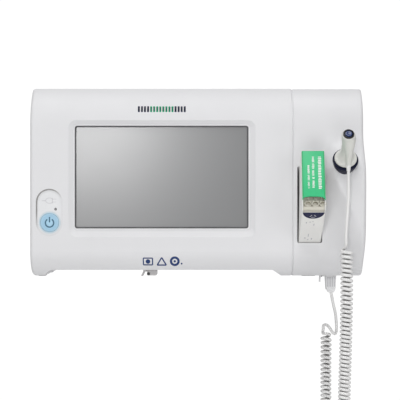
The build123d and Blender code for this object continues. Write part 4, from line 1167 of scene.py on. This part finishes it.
# control strip symbols: plug shape and power ring
lo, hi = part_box("control_inlay")
y_in = lo.y / MM
place = lambda a, b, c: (a, y_in - c, b)


def loop_band(cx, cz, rx, rz, w, a0, a1, n=28):
    # band of width w along part of an oval
    o = []
    for r, order in ((0.0, range(n + 1)), (w, range(n, -1, -1))):
        for k in order:
            t = math.radians(a0 + (a1 - a0) * k / n)
            o.append((cx + (rx - r) * math.cos(t), cz + (rz - r) * math.sin(t)))
    return o


plug = [loop_band(-128.4, -15.9, 3.6, 2.7, 0.7, 40, 320), round_rect(-126.2, -125.5, -18.0, -13.8, 0.2, 2),
        round_rect(-125.6, -122.4, -14.9, -14.3, 0.2, 2), round_rect(-125.6, -122.4, -17.4, -16.8, 0.2, 2),
        round_rect(-135.2, -131.8, -16.3, -15.5, 0.2, 2)]
decal("plug_symbol", plug, place, ink_faint, "monitor", lift=0.0, thick=0.05)
lo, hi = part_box("power_button")
bx, bz, by = (lo.x + hi.x) / 2 / MM, (lo.z + hi.z) / 2 / MM, lo.y / MM
outl = []
for k in range(41):
    a = math.radians(122 + (360 - 64) * k / 40)
    outl.append((bx + 4.2 * math.cos(a), bz - 0.3 + 4.2 * math.sin(a)))
for k in range(40, -1, -1):
    a = math.radians(122 + (360 - 64) * k / 40)
    outl.append((bx + 3.0 * math.cos(a), bz - 0.3 + 3.0 * math.sin(a)))
decal("power_symbol", [outl, round_rect(bx - 0.6, bx + 0.6, bz + 0.2, bz + 4.9, 0.3, 3)],
      lambda a, b, c: (a, by - c, b), ink_teal, "power_key", lift=0.0, thick=0.06)

def graded(name, dark, light, rough, make):
    # two-colour procedural material; make(nodes, links, object coordinates) gives the 0..1 socket
    m = material(name, light, rough, 0.01, 0.04, 0.0)
    nt = m.node_tree
    co = nt.nodes.new("ShaderNodeTexCoord")
    fac = make(nt, co.outputs["Object"])
    ramp = nt.nodes.new("ShaderNodeValToRGB")
    ramp.color_ramp.elements[0].color = (*light, 1)
    ramp.color_ramp.elements[1].color = (*dark, 1)
    nt.links.new(fac, ramp.inputs["Fac"])
    nt.links.new(ramp.outputs["Color"], nt.nodes["Principled BSDF"].inputs["Base Color"])
    return m


def by_direction(centre, d, lo_d, hi_d):
    def make(nt, co):
        dot = nt.nodes.new("ShaderNodeVectorMath")
        dot.operation = "DOT_PRODUCT"
        dot.inputs[1].default_value = d
        nt.links.new(co, dot.inputs[0])
        base = sum(a * b for a, b in zip(centre, d))
        mr = nt.nodes.new("ShaderNodeMapRange")
        mr.inputs["From Min"].default_value = (base + lo_d) * MM
        mr.inputs["From Max"].default_value = (base + hi_d) * MM
        nt.links.new(dot.outputs["Value"], mr.inputs["Value"])
        return mr.outputs["Result"]
    return make


def by_radius(centre, r_lo, r_hi):
    def make(nt, co):
        mp = nt.nodes.new("ShaderNodeMapping")
        mp.inputs["Location"].default_value = (-centre[0] * MM, 0, -centre[2] * MM)
        mp.inputs["Scale"].default_value = (1, 0, 1)
        nt.links.new(co, mp.inputs["Vector"])
        ln = nt.nodes.new("ShaderNodeVectorMath")
        ln.operation = "LENGTH"
        nt.links.new(mp.outputs["Vector"], ln.inputs[0])
        mr = nt.nodes.new("ShaderNodeMapRange")
        mr.inputs["From Min"].default_value = r_lo * MM
        mr.inputs["From Max"].default_value = r_hi * MM
        nt.links.new(ln.outputs["Value"], mr.inputs["Value"])
        return mr.outputs["Result"]
    return make


lo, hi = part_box("control_inlay")
sx, sz, shw, shh = (lo.x + hi.x) / 2 / MM, (lo.z + hi.z) / 2 / MM, (hi.x - lo.x) / 2 / MM, (hi.z - lo.z) / 2 / MM


def capsule(r_in, n=24):
    out = []
    for cz, a0 in ((sz + shh - shw, 0), (sz - shh + shw, 180)):
        for k in range(n + 1):
            t = math.radians(a0 + 180.0 * k / n)
            out.append((sx + (shw + r_in) * math.cos(t), cz + (shw + r_in) * math.sin(t)))
    return out


def band_piece(name, outer_o, inner_o, y0, y1, mat, body):
    n = len(outer_o)
    verts = [(a, y, b) for y in (y0, y1) for o in (outer_o, inner_o) for a, b in o]
    faces = []
    for k in range(n):
        k2 = (k + 1) % n
        faces += [(k, k2, n + k2, n + k), (2 * n + k, 3 * n + k, 3 * n + k2, 2 * n + k2),
                  (k, 2 * n + k, 2 * n + k2, k2), (n + k, n + k2, 3 * n + k2, 3 * n + k)]
    ob = mesh_obj(name, verts, faces, mat)
    fix_normals(ob)
    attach(ob, body)
    return ob


# painted shade: the rim round the control strip is darker towards its upper left, where the recess wall is in shade
rim_shade_mat = graded("strip_rim_shade", (0.28, 0.275, 0.27), (0.735, 0.735, 0.75), 0.5,
                 by_direction((sx, 0, sz), (-0.80, 0.0, 0.60), -1.0, 9.0))
band_piece("strip_rim_shade", capsule(0.28), capsule(-0.78), Y_F - 0.05, Y_F + 1.2, rim_shade_mat, "monitor")
# painted glow: the ring round the power key is light blue next to the key, fading to the strip's grey outward, as light
# spilling from the backlit key
key_glow_mat = graded("key_painted_glow", (0.735, 0.74, 0.755), (0.43, 0.60, 0.70), 0.4, by_radius((bx, 0, bz), 8.1, 10.1))
circle = lambda r: [(bx + r * math.cos(2 * math.pi * k / 64), bz + r * math.sin(2 * math.pi * k / 64)) for k in range(64)]
band_piece("key_painted_glow", circle(10.1), circle(8.18), y_in - 0.04, y_in + 0.25, key_glow_mat, "monitor")

# ------------------------------------------------------------- light and floor
scene.view_settings.view_transform = "Standard"
world = bpy.data.worlds.new("studio")
scene.world = world
world.use_nodes = True
wn = world.node_tree
bg = wn.nodes["Background"]
bg.inputs["Color"].default_value = (1, 1, 1, 1)
lp = wn.nodes.new("ShaderNodeLightPath")
mx = wn.nodes.new("ShaderNodeMapRange")
mx.inputs["To Min"].default_value = 0.34
mx.inputs["To Max"].default_value = 1.05
wn.links.new(lp.outputs["Is Camera Ray"], mx.inputs["Value"])
wn.links.new(mx.outputs["Result"], bg.inputs["Strength"])


def area(name, loc, at, size, watts, color=(1, 1, 1)):
    li = bpy.data.lights.new(name, "AREA")
    li.shape = "RECTANGLE"
    li.size, li.size_y = size
    li.energy = watts
    li.color = color
    ob = link(bpy.data.objects.new(name, li))
    ob.location = loc
    ob.rotation_euler = (Vector(at) - Vector(loc)).to_track_quat("-Z", "Y").to_euler()
    return ob


area("key", (-0.30, -0.82, 1.93), (0.0, -0.1, 0.0), (1.5, 1.3), 19.8)
area("window", (-0.31, -2.20, 0.20), (-0.06, -0.11, 0.02), (0.26, 0.13), 6.9)
area("side", (1.10, -1.50, 0.10), (0.1, -0.1, 0.0), (1.0, 1.0), 4.7)
area("low", (-0.10, -1.35, -0.80), (0.1, -0.1, -0.03), (1.0, 1.0), 6.3)
area("rear", (0.25, 1.90, 1.00), (0.0, 0.0, -0.02), (1.4, 1.2), 9.0)

lo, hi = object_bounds()
floor_z = lo.z - 0.012
bm = bmesh.new()
bmesh.ops.create_circle(bm, cap_ends=True, radius=0.44, segments=128)
me = bpy.data.meshes.new("floor")
bm.to_mesh(me)
bm.free()
floor = link(bpy.data.objects.new("floor", me))
floor.location = (0.0, -0.09, floor_z)
fm = bpy.data.materials.new("floor")
fm.use_nodes = True
nt = fm.node_tree
b = nt.nodes["Principled BSDF"]
b.inputs["Roughness"].default_value = 0.6
b.inputs["Base Color"].default_value = (0.8, 0.8, 0.8, 1)
co = nt.nodes.new("ShaderNodeTexCoord")
ln = nt.nodes.new("ShaderNodeVectorMath")
ln.operation = "LENGTH"
nt.links.new(co.outputs["Object"], ln.inputs[0])
mr = nt.nodes.new("ShaderNodeMapRange")
mr.interpolation_type = "SMOOTHSTEP"
mr.inputs["From Min"].default_value = 0.22
mr.inputs["From Max"].default_value = 0.43
nt.links.new(ln.outputs["Value"], mr.inputs["Value"])
em = nt.nodes.new("ShaderNodeEmission")
em.inputs["Strength"].default_value = 1.05
mixs = nt.nodes.new("ShaderNodeMixShader")
out = nt.nodes["Material Output"]
nt.links.new(mr.outputs["Result"], mixs.inputs["Fac"])
nt.links.new(b.outputs["BSDF"], mixs.inputs[1])
nt.links.new(em.outputs["Emission"], mixs.inputs[2])
nt.links.new(mixs.outputs["Shader"], out.inputs["Surface"])
me.materials.append(fm)
